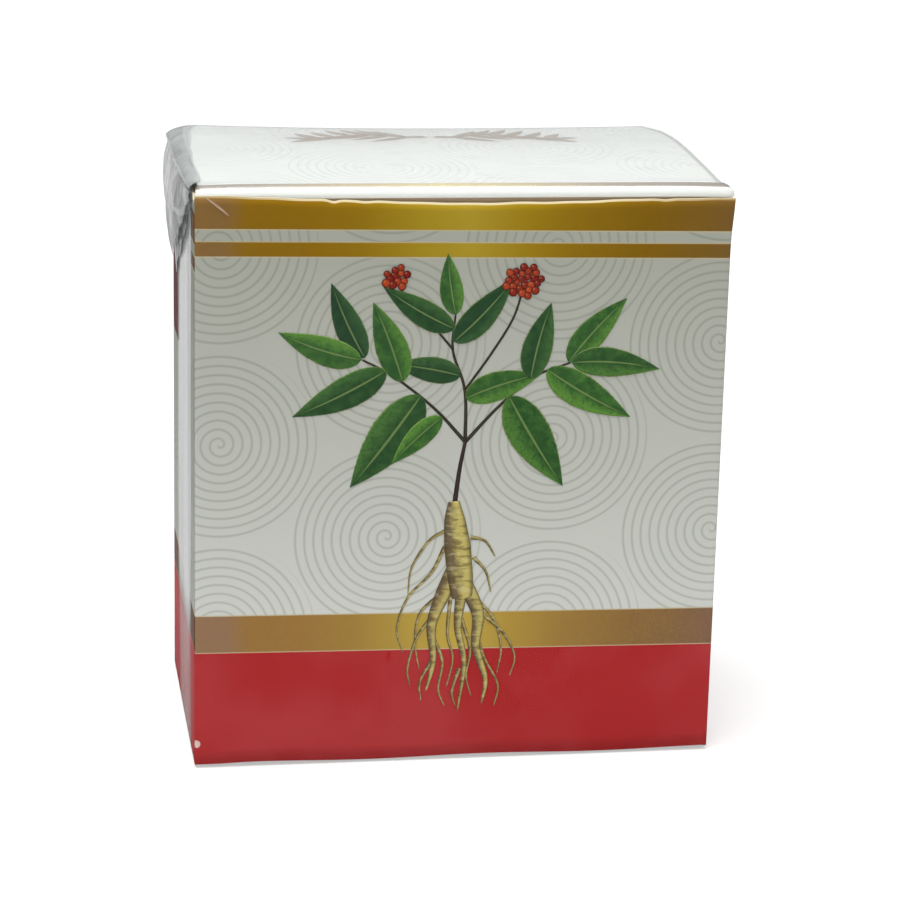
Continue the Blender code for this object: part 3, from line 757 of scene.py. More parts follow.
def front_y(x, z):
    """The front wall's outer face: flat, bowed out by a parabola across times a half sine up."""
    bow = FRONT_BOW * (1 - (x / HALF_X) ** 2) * np.sin(np.pi * np.clip(z / RAW_EDGE_ENDS, 0, 1))
    return FRONT_Y - np.maximum(bow, 0)


def flare(x, y, z):
    """How far the film pulls the front right corner out.

    An eased step up the wall is faded across the front and along the side.
    """
    return FLARE * smooth((z - 88) / 11) ** 1.5 * smooth((x - 38) / 6.8) * smooth((-12 - y) / 14)


def lid_line(y):
    """Height of the lid without its dome: a straight slope down to the front."""
    return LID_FRONT_Z + (LID_BACK_Z - LID_FRONT_Z) * (y - BEND_Y) / (BACK_Y - BEND_Y)


def lid_height(y):
    """Height of the lid's top: the straight slope and a half sine on it."""
    share = np.clip((y - BEND_Y) / (BACK_Y - BEND_Y), 0, 1)
    return lid_line(y) + LID_DOME * np.sin(np.pi * share)


def droop(x, y):
    """How far the lid's front edge sinks at its ends: bell curves that fade out behind the bend."""
    ends = LID_DROOP * hump(x, -46, 6.5) + 0.15 * hump(x, 46, 5)
    return ends * smooth((-12 - y) / 12)


def back_lift(x, y):
    """How far the lid's back corners stand up and its middle sags: a square law, eased in to the back."""
    return (np.where(x < 0, 0.85, 0.45) * (x / HALF_X) ** 2 - 0.2) * smooth(y / 26)


def wall_path():
    """The board's outer face seen from above, from the left wall's free edge round to the glue flap.

    Straight runs are joined by quarter circles. It returns the points and which panel each is on: 0 left,
    1 front, 2 right, 3 back, 4 glue flap. The right panel starts a hair's breadth behind its corner.
    """
    hair = 0.02
    x, front, back = HALF_X - CORNER, FRONT_Y + CORNER, BACK_Y - CORNER
    flap_x = -(HALF_X - BOARD - GAP - TIGHT)
    stretches = [
        (0, np.vstack([[[-HALF_X, BACK_Y]], run((-HALF_X, BACK_Y), (-HALF_X, front), 60)])),
        (0, arc((-x, front), CORNER, 180, 214, 5)),
        (1, arc((-x, front), CORNER, 215, 270, 6)), (1, run((-x, FRONT_Y), (x, FRONT_Y), 150)),
        (1, arc((x, front), CORNER, -90, 0, 9)),
        (2, np.vstack([[[HALF_X, front + hair]], run((HALF_X, front), (HALF_X, back), 60)[1:]])),
        (2, [[HALF_X, back]]),
        (3, arc((x, back), CORNER, 2, 90, 8)), (3, run((x, BACK_Y), (flap_x + CORNER, BACK_Y), 70)),
        (3, arc((flap_x + CORNER, back), CORNER, 90, 180, 8)),
        (4, np.vstack([run((flap_x, back), (flap_x, back - 12), 10), [[flap_x, back - 12]]])),
    ]
    points = np.vstack([stretch for _, stretch in stretches])
    panel = np.concatenate([np.full(len(stretch), number) for number, stretch in stretches])
    return points, panel


# Small nicks in the front wall's cut edge: depth, place and width
NICKS = ((0.34, -22.3, 0.9), (0.2, -17.0, 1.6), (0.22, 33.5, 1.3), (0.12, 3.0, 4.0))


def raw_edge(x):
    """The front wall's cut top edge: it dips to the middle, and has a few small nicks and a slight waver."""
    dip = RAW_EDGE_DIP * np.cos(np.pi * x / (2 * HALF_X + 1)) ** 2
    nicks = sum(depth * hump(x, place, width) for depth, place, width in NICKS)
    waver = 0.05 * np.sin(x / 3.7) + 0.035 * np.sin(x / 1.3 + 1)
    return RAW_EDGE_ENDS - PRINT_TILT * np.where(x > 0, 0.45, 1.0) * x - dip - nicks + waver


def wall_top(points, panel):
    """Height of the walls' top edge: the front's raw edge, a step down by the bend, then the side creases."""
    x, y = points.T
    side = lid_line(y) - TIGHT - BOARD - GAP - 0.8
    step = smooth((y - FRONT_Y - 3.4) / 0.9)
    corner_top = 98.1
    front = corner_top + (raw_edge(x) - corner_top) * smooth((FRONT_Y + CORNER - y) / 0.3)
    top = front * (1 - step) + side * step
    top = np.where((panel == 3) | (y > BACK_Y - 0.3), CREASE_Z - BOARD - GAP + back_lift(x, y), top)
    return np.where(panel == 4, 93.4, top)


def make_walls(materials):
    """The four walls and the glue flap. Each point goes straight up from the bottom edge to the top edge."""
    points, panel = wall_path()
    share = (np.linspace(0, 1, 60) ** 0.9)[:, None]
    waver = 0.16 * (1 + np.sin(points[:, 0] / 6.5 + 0.8)) * (panel == 1)
    foot = BASE_Z + waver - 0.12 * hump(points[:, 0], -41, 4)
    foot = np.where(panel == 4, 4.0, np.maximum(foot, 0.2))
    top = wall_top(points, panel)
    z = foot + (top - foot) * share
    x, y, _ = np.broadcast_arrays(*points.T, z)
    flat_front = (panel == 1) & (points[:, 1] < FRONT_Y + 0.001)
    y = np.where(flat_front, front_y(x, z), y)
    steps = np.hypot(*np.diff(points, axis=0).T)
    distance = np.concatenate([[0], np.cumsum(steps)])
    distance -= np.interp(0, points[panel == 1][:, 0], distance[panel == 1])
    starts = [distance[panel == n][0] for n in range(5)]
    widths = [2 * BACK_Y, 2 * HALF_X, 2 * BACK_Y, 2 * HALF_X, 13.0]
    local = (distance - np.take(starts, panel)) / np.take(widths, panel)
    is_side = np.isin(panel, (0, 2, 4)) * 1.0
    is_front = (panel == 1) * 1.0
    maps = {"wrap": (distance, z), "panel": (local, is_side + 0 * z), "rim": (top - z, is_front)}
    maps = {label: np.stack(np.broadcast_arrays(*pair), -1) for label, pair in maps.items()}
    walls = surface("board_walls", np.stack([x + flare(x, y, z), y, z], -1), materials, maps, 30.0)
    thicken(walls, BOARD, 1, 2)
    return put(walls, "carton", "printed_board", "carton_sleeve")


def lid_half(y):
    """Half the lid's width at a depth: full over most of it, and eased in towards the back corners."""
    return np.interp(y, (-24.2, 0.0, 15.0, 20.7, 24.0, 27.05), (44.25, 44.3, 44.1, 43.7, 42.8, 41.2))


def lid_ear(y):
    """How much further the lid's right end reaches than its left: less than nothing towards the front."""
    return -0.6 * smooth((12 - y) / 22)


def lid_corner(across, y):
    """How far the lid rounds down at its ends, away from the bend and the crease."""
    return 0.12 * np.abs(across) ** 4 * smooth((y - BEND_Y) / 3) * smooth((BACK_Y - y) / 4)


def lid_section():
    """The lid's outer face from its crease: domed panel, round front bend, then the tuck flap.

    Each row is y, z, the half width and how much further the right end reaches.
    """
    y = np.concatenate([np.linspace(BACK_Y, BACK_Y - 4, 9), np.linspace(BACK_Y - 5, BEND_Y + 1.2, 44)])
    panel = np.stack([y, lid_height(y), lid_half(y), lid_ear(y)], 1)
    y = BEND_Y + np.array([0.8, 0.55, 0.2])
    eased = np.stack([y, lid_height(y), (44.25, 44.25, 44.3), lid_ear(y)], 1)
    lean = 10
    angles = np.linspace(90, 180 + lean, 31)
    bend = arc((BEND_Y, LID_FRONT_Z - BEND_RADIUS), BEND_RADIUS, 90, 180 + lean, 31)
    widths = (44.3, 44.4, 44.7, 44.95, TUCK_HALF, TUCK_HALF)
    shoulder = np.interp(angles, (90, 99, 120, 168, 173, 190), widths)
    reaches = (-0.6, -0.4, -0.1, FLARE, FLARE, 1.95, 1.95, 0.0)
    ear = np.interp(angles, (90, 99, 120, 150, 168, 173, 180, 186), reaches)
    reach = np.concatenate([np.linspace(0.6, 7.0, 7), np.linspace(7.8, 11.3, 12)])
    tuck_y = bend[-1, 0] + reach * math.sin(math.radians(lean))
    tuck_z = bend[-1, 1] - reach * math.cos(math.radians(lean))
    rounding = np.clip((reach - 8.3) / 3.0, 0, 1)
    tuck_half = TUCK_HALF - 0.08 * reach - 2.4 * (1 - np.sqrt(1 - rounding**2))
    tuck = np.stack([tuck_y, tuck_z, tuck_half, 0 * reach], 1)
    return np.vstack([panel, eased, np.column_stack([bend, shoulder, ear]), tuck])


def make_lid(materials):
    """The lid: its section carried straight across, as wide at each point as the section says."""
    section = lid_section()
    y, z, half, ear = section.T[:, :, None]
    across = np.linspace(1, -1, 91)[None]
    x = across * half + ear * smooth((across - 0.7) / 0.3)
    y = np.broadcast_to(y, x.shape)
    z = z - lid_corner(across, y) - droop(x, y) + back_lift(x, y)
    steps = np.hypot(*np.diff(section[:, :2], axis=0).T)
    distance = np.concatenate([[0], np.cumsum(steps)])
    wrap = np.stack(np.broadcast_arrays(x, distance[:, None]), -1)
    lid = surface("board_lid", np.stack([x, y, z], -1), materials, {"wrap": wrap}, 30.0)
    thicken(lid, BOARD, 1, 2)
    return put(lid, "lid", "printed_board", "carton_lid")


def on_front(x, z, lift):
    """Points on the front wall, a little proud of it."""
    return np.stack([x, front_y(x, z) - PRINT_LIFT - lift, z], -1)


def on_lid(x, y, lift):
    """Points on the lid, a little proud of it."""
    z = lid_height(y) - lid_corner(x / lid_half(y), y) - droop(x, y) + back_lift(x, y)
    return np.stack([x, y, z + PRINT_LIFT + lift], -1)


def blade(base, angle, length, width, bend, rows=44, columns=13, teeth=0.0):
    """A leaf on a plane. Angles are in degrees from straight up, positive to the right.

    Its half width is u to the 0.62 times (1 - u) to the 1.05, scaled. Its midrib bends with the square of u.
    """
    u = np.linspace(0, 1, rows)[:, None]
    v = np.linspace(-1, 1, columns)[None]
    saw = 1 + teeth * (((u * 19) % 1.0) - 0.5)
    half = width / 2 * 2.02 * u**0.62 * (1 - u) ** 1.05 * saw + 0.02
    turn = math.radians(angle)
    forward = np.array([math.sin(turn), math.cos(turn)])
    right = np.array([forward[1], -forward[0]])
    spine = length * (u[..., None] * forward + bend * u[..., None] ** 2 * right)
    flat = np.array(base) + spine + (half * v)[..., None] * right
    own = np.stack(np.broadcast_arrays(u, v), -1)
    return flat, own


def smooth_line(points, rows):
    """Points along a Catmull-Rom curve through the given points."""
    points = np.asarray(points, float)
    padded = np.vstack([2 * points[0] - points[1], points, 2 * points[-1] - points[-2]])
    t = np.linspace(0, len(points) - 1, rows)
    i = np.minimum(t.astype(int), len(points) - 2)
    f = (t - i)[:, None]
    a, b, c, d = (padded[i + k] for k in range(4))
    return 0.5 * (2 * b + (c - a) * f + (2 * a - 5 * b + 4 * c - d) * f**2 + (3 * b - a - 3 * c + d) * f**3)


def ribbon(points, widths, rows=36, columns=7):
    """A flat band along a smooth line through points, as wide as the widths say, with a round end."""
    centre = smooth_line(points, rows)
    t = np.linspace(0, 1, rows)
    tangent = np.gradient(centre, axis=0)
    tangent /= np.linalg.norm(tangent, axis=1)[:, None]
    right = np.stack([tangent[:, 1], -tangent[:, 0]], 1)
    half = np.interp(t, np.linspace(0, 1, len(widths)), widths) / 2
    half = half * np.sqrt(np.clip(1 - np.clip((t - 0.95) / 0.05, 0, 1) ** 2, 0.002, 1))
    v = np.linspace(-1, 1, columns)
    side = np.sign(right[:, :1].mean() + 1e-9)
    flat = centre[:, None] + (half[:, None] * v[None])[..., None] * right[:, None] * side
    own = np.stack(np.broadcast_arrays(t[:, None], v[None]), -1)
    return flat, own


def disc(centre, radius, rows=6, columns=17):
    """A round spot: rings from the middle out, with its map running from -1 to 1 both ways."""
    r = np.linspace(0.02, 1, rows)[:, None]
    a = np.linspace(0, 2 * np.pi, columns)[None]
    own = np.stack([r * np.cos(a), r * np.sin(a)], -1)
    return np.array(centre) + radius * own, own


def make_picture(name, shapes, tones, material, place, body, first_lift, step=0.004, slot="printed_board"):
    """One object from many flat shapes, each a little prouder than the one before, which it covers."""
    flats = np.stack([flat for flat, _ in shapes])
    owns = np.stack([own for _, own in shapes])
    order = np.arange(len(shapes))[:, None, None]
    points = place(flats[..., 0], flats[..., 1], first_lift + step * order)
    tone = np.zeros(flats.shape)
    tone[..., 0] = np.asarray(tones, float)[:, None, None]
    piece = many_surfaces(name, points, [material], {"own": owns, "tone": tone})
    thicken(piece, 0.012)
    return put(piece, body, slot)


# The printed herb, in millimetres across and up. Stalks are points and widths, leaves are base, angle,
# length, width, bend and tone, berries are middle, spread and count, and limbs are points, widths and tone.
FORK = (0.5, 57.0)
STALKS = (
    ((FORK, (-0.4, 52.0), (-1.2, 45.0)), (0.62, 0.7, 0.9)),
    ((FORK, (-5.0, 63.0), (-12.0, 68.6), (-17.5, 71.6)), (0.65, 0.5, 0.42, 0.35)),
    ((FORK, (0.2, 66.0), (-2.0, 73.0), (-1.6, 79.5)), (0.65, 0.52, 0.45, 0.3)),
    ((FORK, (6.2, 63.2), (12.2, 68.2), (18.5, 70.6)), (0.65, 0.5, 0.42, 0.35)),
    (((0.2, 66.0), (4.4, 72.0), (8.0, 78.0), (9.6, 83.0)), (0.45, 0.42, 0.4, 0.36)),
    (((-1.9, 73.0), (-5.4, 77.0), (-9.0, 80.4), (-11.2, 84.0)), (0.42, 0.38, 0.36, 0.32)),
)
LEAVES = (
    ((-0.6, 68.5), -74, 10.0, 5.2, -0.10, 0.2), ((0.4, 64.6), 66, 11.5, 6.0, 0.12, 0.9),
    ((-16.8, 71.8), -30, 12.0, 5.6, 0.10, 0.1), ((-17.4, 71.5), -80, 12.5, 5.8, 0.16, 0.95),
    ((-13.2, 69.6), -122, 15.0, 6.6, 0.10, 0.35), ((-10.4, 67.6), -16, 12.5, 6.4, -0.08, 0.75),
    ((-7.2, 65.2), -146, 17.0, 9.0, 0.05, 0.45), ((-3.6, 61.4), -128, 10.0, 4.6, -0.10, 1.0),
    ((-1.6, 79.0), -14, 9.0, 4.6, 0.10, 0.85), ((-1.8, 76.6), -66, 12.0, 5.4, 0.12, 0.25),
    ((-1.9, 74.4), 50, 12.5, 5.8, -0.12, 0.15), ((17.8, 70.6), 36, 12.5, 5.8, 0.10, 0.9),
    ((18.4, 70.5), 86, 13.0, 6.0, 0.16, 0.6), ((14.2, 69.4), 126, 14.5, 6.8, -0.10, 1.0),
    ((11.4, 67.8), 8, 11.5, 6.0, 0.10, 0.3), ((7.8, 64.8), 152, 16.0, 8.4, -0.06, 0.7),
)
BERRIES = (((9.8, 84.6), 2.9, 26), ((-11.6, 85.4), 2.0, 13))
LIMBS = (
    (((-1.2, 46.6), (-1.0, 43.4), (-0.4, 38.5), (0.2, 33.0), (0.6, 29.0)), (1.9, 3.6, 4.6, 4.4, 3.6), 0.9),
    (((-0.6, 35.0), (-2.8, 30.0), (-4.6, 24.5), (-4.2, 18.0), (-5.4, 12.5)), (3.0, 2.6, 1.7, 1.0, 0.4), 0.7),
    (((1.0, 32.0), (3.4, 26.5), (3.2, 20.5), (5.0, 14.5), (4.4, 10.0)), (2.8, 2.2, 1.5, 0.9, 0.35), 0.8),
    (((0.4, 30.0), (0.0, 24.0), (1.2, 17.5), (0.2, 8.6)), (2.0, 1.3, 0.9, 0.3), 0.6),
)
HAIRS = (
    ((-2.4, 41.5), (-5.4, 39.6), (-8.2, 35.0), (-8.8, 30.0)),
    ((-2.6, 38.6), (-4.8, 34.0), (-8.8, 29.6), (-10.6, 24.0), (-9.4, 19.6)),
    ((1.8, 40.2), (4.4, 39.4), (6.2, 36.6)), ((2.4, 36.6), (4.6, 34.0), (5.6, 30.2)),
    ((-2.6, 30.6), (-6.6, 26.8), (-7.4, 21.6), (-6.6, 16.6)),
    ((-4.0, 26.8), (-7.0, 22.6), (-8.6, 17.2), (-8.2, 13.6)),
    ((-4.4, 22.6), (-2.6, 18.0), (-3.2, 13.0), (-2.0, 9.6)),
    ((-1.4, 29.6), (-1.8, 23.0), (-0.8, 18.4), (-1.8, 13.2)),
    ((0.6, 25.6), (2.2, 20.0), (1.6, 15.2), (2.6, 11.4)),
    ((2.8, 29.4), (6.2, 25.4), (7.6, 20.2), (7.0, 15.4)),
    ((3.4, 27.0), (7.8, 23.0), (10.0, 18.6), (9.2, 14.8)),
    ((3.2, 22.6), (4.8, 18.2), (7.2, 13.4), (6.6, 9.4)), ((-4.2, 18.6), (-6.4, 14.4), (-6.2, 10.8)),
    ((0.4, 16.6), (-0.8, 12.4), (-0.2, 9.8)),
)


def make_plant():
    """The picture on the front: a herb with broad leaves, two heads of berries and a forked root."""
    dice = np.random.default_rng(11)
    leaf = flat_print("printed_leaf", leaf_colour)
    stem = flat_print("printed_stem", stem_colour)
    berry = flat_print("printed_berry", berry_colour)
    root = flat_print("printed_root", root_colour)
    stalks = [ribbon(points, widths) for points, widths in STALKS]
    make_picture("picture_stems", stalks, [1.0] + [0.5] * (len(stalks) - 1), stem, on_front, "carton", 0.0)
    longer, wider, turn_step = 1.16, 1.28, 2.39996
    blades, tones = [], []
    for base, angle, length, width, bend, tone in LEAVES:
        blades.append(blade(base, angle, longer * length, wider * width, bend, teeth=0.05))
        tones.append(tone)
    make_picture("picture_leaves", blades, tones, leaf, on_front, "carton", 0.03)
    spots = []
    for (x, z), size, count in BERRIES:
        for i in range(count):
            turn = i * turn_step
            spread = size * math.sqrt(i / count)
            middle = (x + spread * 1.12 * math.cos(turn), z + spread * 0.95 * math.sin(turn))
            spots.append(disc(middle, dice.uniform(0.58, 0.78)))
    tones = dice.uniform(0, 1, len(spots))
    make_picture("picture_berries", spots, tones, berry, on_front, "carton", 0.05, 0.003)
    hairs = [ribbon(points, (0.75, 0.5, 0.4, 0.22)) for points in HAIRS]
    limbs = [ribbon(points, widths) for points, widths, _ in LIMBS]
    tones = [0.35] * len(hairs) + [limb[2] for limb in LIMBS[::-1]]
    make_picture("picture_root", hairs + limbs[::-1], tones, root, on_front, "carton", 0.02)


def make_ornament():
    """The lid's ornament: two leafy sprigs that meet at a bud, the right one the left one's mirror."""
    ink = flat_print("printed_ornament", ornament_colour)
    middle_y = 15.0
    blades = []
    for side in (-1, 1):
        for i in range(6):
            x = side * (4.4 + 3.2 * i)
            rise = 2.4 * math.sin(i * 0.85)
            size = 9.2 - 0.5 * i
            for tilt in (42, 138):
                blades.append(blade((x, middle_y + rise), side * tilt, size, 3.0, -0.16 * side, 16, 5))
        blades.append(blade((side * 21.6, middle_y - 2.2), side * 88, 5.0, 2.0, 0.0, 16, 5))
        blades.append(blade((side * 0.6, middle_y), side * 90, 4.0, 3.0, 0.0, 16, 5))
    make_picture("ornament_leaves", blades, [0.5] * len(blades), ink, on_lid, "lid", 0.0, 0.001)
    twigs = []
    for side in (-1, 1):
        x = np.linspace(3.6, 21.6, 8)
        y = middle_y + 2.4 * np.sin((x - 4.4) / 3.2 * 0.85)
        twigs.append(ribbon(np.stack([side * x, y], 1), np.full(8, 1.1), 40, 3))
    make_picture("ornament_twigs", twigs, [0.5, 0.5], ink, on_lid, "lid", 0.03, 0.001)


def make_labels():
    """A bare maroon block with round corners on each side wall."""
    ink = flat_print("printed_label", label_colour, 0.0)

    def on_side(side):
        return lambda a, z, _: np.stack([side * (HALF_X + PRINT_LIFT) + 0 * a, -side * a, z], -1)

    def block(middle):
        half = np.array([8.0, 10.0])
        power = 9.0
        v = np.linspace(-1, 1, 13)
        flat = np.stack(np.meshgrid(v, v), -1)
        reach = (np.abs(flat) ** power).sum(-1) ** (1 / power)
        scale = np.abs(flat).max(-1) / np.maximum(reach, 1e-6)
        own = np.stack([(flat[..., 1] + 1) / 2, flat[..., 0]], -1)
        return np.array(middle) + half * flat * scale[..., None], own

    for name, side in (("label_left", -1), ("label_right", 1)):
        make_picture(name, [block((-17.5 * side, 76.0))], [0.5], ink, on_side(side), "carton", 0.0)


class CARTON_OT_board(bpy.types.Operator):
    """Makes the printed walls and lid, and finishes the plain flaps."""

    bl_idname = "carton.board"
    bl_label = "Board"

    def execute(self, context):
        inside = plain_board("board_inside", (0.56, 0.54, 0.50), (0.46, 0.44, 0.40))
        cut = plain_board("board_cut_edge", (0.72, 0.64, 0.46), (0.52, 0.43, 0.27))
        coated = plain_board("board_coated", (0.66, 0.67, 0.64), (0.54, 0.55, 0.52), 0.5)
        make_walls([printed_walls(), inside, cut])
        make_lid([printed_lid(), inside, cut])
        for name in ("dust_flap_left", "dust_flap_right"):
            repaint(name, coated)
        for name in ("base_flap_inner", "base_dust_flap_left", "base_dust_flap_right"):
            repaint(name, inside)
        repaint("base_flap_outer", printed_foot())
        return {"FINISHED"}


def repaint(name, material):
    """Gives a CAD node a finish."""
    for held in frame["nodes"][name].material_slots:
        held.material = material


class CARTON_OT_print(bpy.types.Operator):
    """Makes the printed picture, the lid's ornament and the bare labels."""

    bl_idname = "carton.print"
    bl_label = "Print"

    def execute(self, context):
        make_plant()
        make_ornament()
        make_labels()
        return {"FINISHED"}


def film_top(y):
    """Top edge of the film round the walls: level with the lid's edge at the sides, lower along the front."""
    share = smooth((y - FRONT_Y - 1.0) / 4.0)
    return 98.9 * (1 - share) + (lid_line(y) - TIGHT - 0.95) * share


def make_film_tray(material):
    """Film round the walls and under the base.

    A rounded rectangle is carried along a section that starts at the middle of the base, runs out flat, turns
    up round the bottom edge and climbs to the cut line.
    """
    radius = 0.55
    half_x, half_y = FILM_HALF_X, FILM_HIGH[1]
    x, y = half_x - radius, half_y - radius
    outline = np.vstack([
        arc((-x, -y), radius, 180, 270, 7), run((-x, -half_y), (x, -half_y), 60),
        arc((x, -y), radius, -90, 0, 7), run((half_x, -y), (half_x, y), 36),
        arc((x, y), radius, 0, 90, 7), run((x, half_y), (-x, half_y), 60),
        arc((-x, y), radius, 90, 180, 7), run((-half_x, y), (-half_x, -y), 60), [[-half_x, -y]]])
    inset = np.array([0.02, 0.3, 0.6, 0.9, 0.985])
    turn = np.radians(np.linspace(-90, 0, 5))
    edge = 0.4
    rows = [outline * share for share in inset]
    heights = [np.zeros(len(outline)) for _ in inset]
    normal = outline / np.linalg.norm(outline, axis=1)[:, None]
    for angle in turn:
        rows.append(outline - normal * edge * (1 - math.cos(angle)) * 0.9)
        heights.append(np.full(len(outline), edge * (1 + math.sin(angle))))
    top = film_top(outline[:, 1])
    for share in np.linspace(0.02, 1, 60):
        rows.append(outline)
        heights.append(edge + (top - edge) * share)
    points = np.dstack([np.stack(rows), np.stack(heights)])
    x, y, z = np.moveaxis(points, -1, 0)
    points[..., 0] = x + flare(x, y, z) * 0.9
    tray = surface("film_walls", points, [material])
    thicken(tray, FILM_SHEET)
    return put(tray, "carton", "clear_film", "film_tray")


def cap_half(y):
    """Half the film cap's width at a depth."""
    return lid_half(np.clip(y, BEND_Y, BACK_Y)) + 0.2


def make_film_cap(material):
    """Film over the lid, with an ear at the right end of the front bend.

    A section across, flat with round shoulders, is carried from the crease to the cut line.
    """
    rise, edge = 0.24, 0.5
    y = np.linspace(BACK_Y + rise, BEND_Y, 50)
    flat = np.stack([y, lid_height(y) + rise, 0 * y, -np.ones(len(y)), lid_ear(y)], 1)
    angles = np.radians(np.linspace(100, 172, 16))
    reach = BEND_RADIUS + rise
    bend_y = BEND_Y + reach * np.cos(angles)
    bend_z = LID_FRONT_Z - BEND_RADIUS + reach * np.sin(angles)
    ear = np.interp(np.degrees(angles), (100, 120, 150, 172), (-0.4, 0.1, FLARE, FLARE)) + 0.2
    bend = np.stack([bend_y, bend_z, -np.cos(angles), -np.sin(angles), ear], 1)
    section = np.vstack([flat, bend])
    shoulder = arc((-edge, -edge), edge, 0, 90, 9)
    level = np.stack([-np.linspace(edge, 44.0, 24)[1:], np.zeros(23)], 1)
    half_across = np.vstack([shoulder, level])
    across = np.vstack([half_across, half_across[-2::-1]])
    side = np.concatenate([np.ones(len(half_across)), -np.ones(len(half_across) - 1)])
    y, z, out_y, out_z, reach = section.T[:, :, None]
    half = cap_half(y) + reach * (side > 0)
    x = side * (half + across[:, 0] * half / 44.0)
    y = y - across[:, 1] * out_y
    z = z - across[:, 1] * out_z - droop(x, y) + back_lift(x, y)
    cap = surface("film_over_lid", np.stack([x, y, z], -1), [material])
    thicken(cap, FILM_SHEET)
    return put(cap, "lid", "clear_film", "film_cap")


def make_gather_side(material):
    """Bunched film down the left side: two hanging sheets, one outside the other, with crossed folds.

    Their lower edge runs down to one long tail. Their map holds the ridges, a painted shadow in one ellipse
    and a painted highlight on a ring round it.
    """
    rows, columns = 110, 200
    v = np.linspace(0, 1, rows)[:, None]
    y = np.linspace(26.5, -23.2, columns)[None]
    sheets, maps = [], []
    for layer, (stand, swell, reach) in enumerate(((0.25, 0.8, 1.0), (0.5, 2.6, 0.88))):
        drop = np.interp(y[0], GATHER_Y, GATHER_DROP)[None] * reach
        ragged = 1 + 0.035 * np.sin(y / 1.7 + layer * 2) + 0.02 * np.sin(y / 0.6 + layer)
        z = lid_line(y) - TIGHT - 1.2 - drop * ragged * (1 - v)
        ridge = folds((y + 0.9 * z) / 5.0, z / 7.0, 3 + layer, 5, 0.7, 2.2, 0.15, 0.35)
        fine = folds((y + 0.4 * z) / 2.2, z / 3.0, 13 + layer, 4, 0.8, 2.0, 0.1, 0.5) * smooth((94 - z) / 5)
        belly = np.sin(np.pi * (v * 0.93 + 0.03)) ** 0.6 * np.interp(y[0], GATHER_Y, GATHER_BELLY)
        x = -(FILM_HIGH[0] + stand + swell * belly * (0.45 + 0.4 * ridge + 0.15 * fine))
        x = np.maximum(x, GATHER_LOW[0] + 0.02)
        up = z - 96.6
        far = np.hypot((y + 8.0 + 0.8 * up) / 8.5, up / 3.0)
        # Painted shadow in the ellipse, on the outer sheet only.
        painted_shadow_and_fade = smooth((1.05 - far) / 0.35) * (layer == 1)
        # A pale ring round the ellipse in the tone is a painted highlight.
        tone = 0.3 + 0.45 * ridge + 0.25 * fine + 0.5 * hump(far, 1.25, 0.14)
        painted_shadow_and_fade = painted_shadow_and_fade - 0.9 * smooth((0.1 - v) / 0.1)
        sheets.append(np.stack(np.broadcast_arrays(x, y, z), -1))
        maps.append(np.stack([tone, painted_shadow_and_fade], -1))
    sheet = many_surfaces("film_bunch_side", np.stack(sheets), [material], {"own": np.stack(maps)})
    thicken(sheet, 0.08)
    return put(sheet, "carton", "clear_film", "film_gather_side")


def make_gather_lid(material):
    """Bunched film over the lid's left margin.

    A quarter of an ellipse from the lid's top out to over the side sheets is lifted a little by soft folds.
    """
    rows, columns = 60, 200
    y = np.linspace(26.5, -23.2, columns)[None]
    v = np.linspace(0, 1, rows)[:, None]
    inner = np.interp(y, (-23.2, -7.0, 14.0, 26.5), (43.2, 43.6, 42.2, 40.6)) + 0.12 * np.sin(y / 2.3)
    foot = lid_line(y) - TIGHT - 0.95
    head = lid_height(y) - 0.12 * np.abs(inner / 44.0) ** 4 + 0.32
    outer = np.interp(y, (-23.2, -18.0, 0.0, 26.5), (45.6, 46.0, 46.6, 46.5))
    ridge = folds(y / 5.5, v * 1.6, 5, 5, 0.7, 2.2, 0.1, 0.35)
    angle = np.radians(180 - 90 * v)
    puff = 1 + 0.16 * (ridge - 0.5) * np.sin(np.pi * v)
    x = -inner + (outer - inner) * np.cos(angle) * puff
    z = foot + (head - foot - droop(-inner, y) + back_lift(-inner, y)) * np.sin(angle) * puff
    tone = 0.58 + 0.45 * ridge + 0.2 * smooth((v - 0.5) / 0.2)
    fade = smooth((v - 0.7) / 0.3) + smooth((-21.9 - y) / 1.4)
    own = np.stack([tone, -fade], -1)
    points = np.stack(np.broadcast_arrays(x, y, z), -1)
    sheet = surface("film_bunch_lid", points, [material], {"own": own}, 80.0)
    thicken(sheet, 0.08)
    return put(sheet, "lid", "clear_film", "film_gather_lid")


def make_crease(material):
    """A fold that runs slantwise down the front from the left end of the bend: a thin raised ribbon."""
    u = np.linspace(0, 1, 40)[:, None]
    v = np.linspace(-1, 1, 9)[None]
    width = np.sin(np.pi * np.clip(u * 0.9 + 0.08, 0, 1)) ** 0.5
    x = -43.2 + 3.7 * u + 0.13 * v * width
    z = 98.85 - 2.6 * u - 0.35 * u**2 + 0.13 * v * width
    y = -FILM_HIGH[1] + 0.04 * v**2 + 0.01
    fold = surface("film_fold", np.stack(np.broadcast_arrays(x, y, z), -1), [material])
    thicken(fold, 0.03)
    return put(fold, "carton", "clear_film")


class CARTON_OT_film(bpy.types.Operator):
    """Makes the clear film round the walls and over the lid, and its bunched end."""

    bl_idname = "carton.film"
    bl_label = "Film"

    def execute(self, context):
        film = settings()[1]
        make_film_tray(clear_film("film_on_walls", film.clear, side_glare=film.side_glare))
        make_film_cap(clear_film("film_on_lid", film.clear + 0.08, edge=0.3))
        bunched = bunched_film()
        make_gather_side(bunched)
        make_gather_lid(bunched)
        make_crease(fold_film())
        return {"FINISHED"}


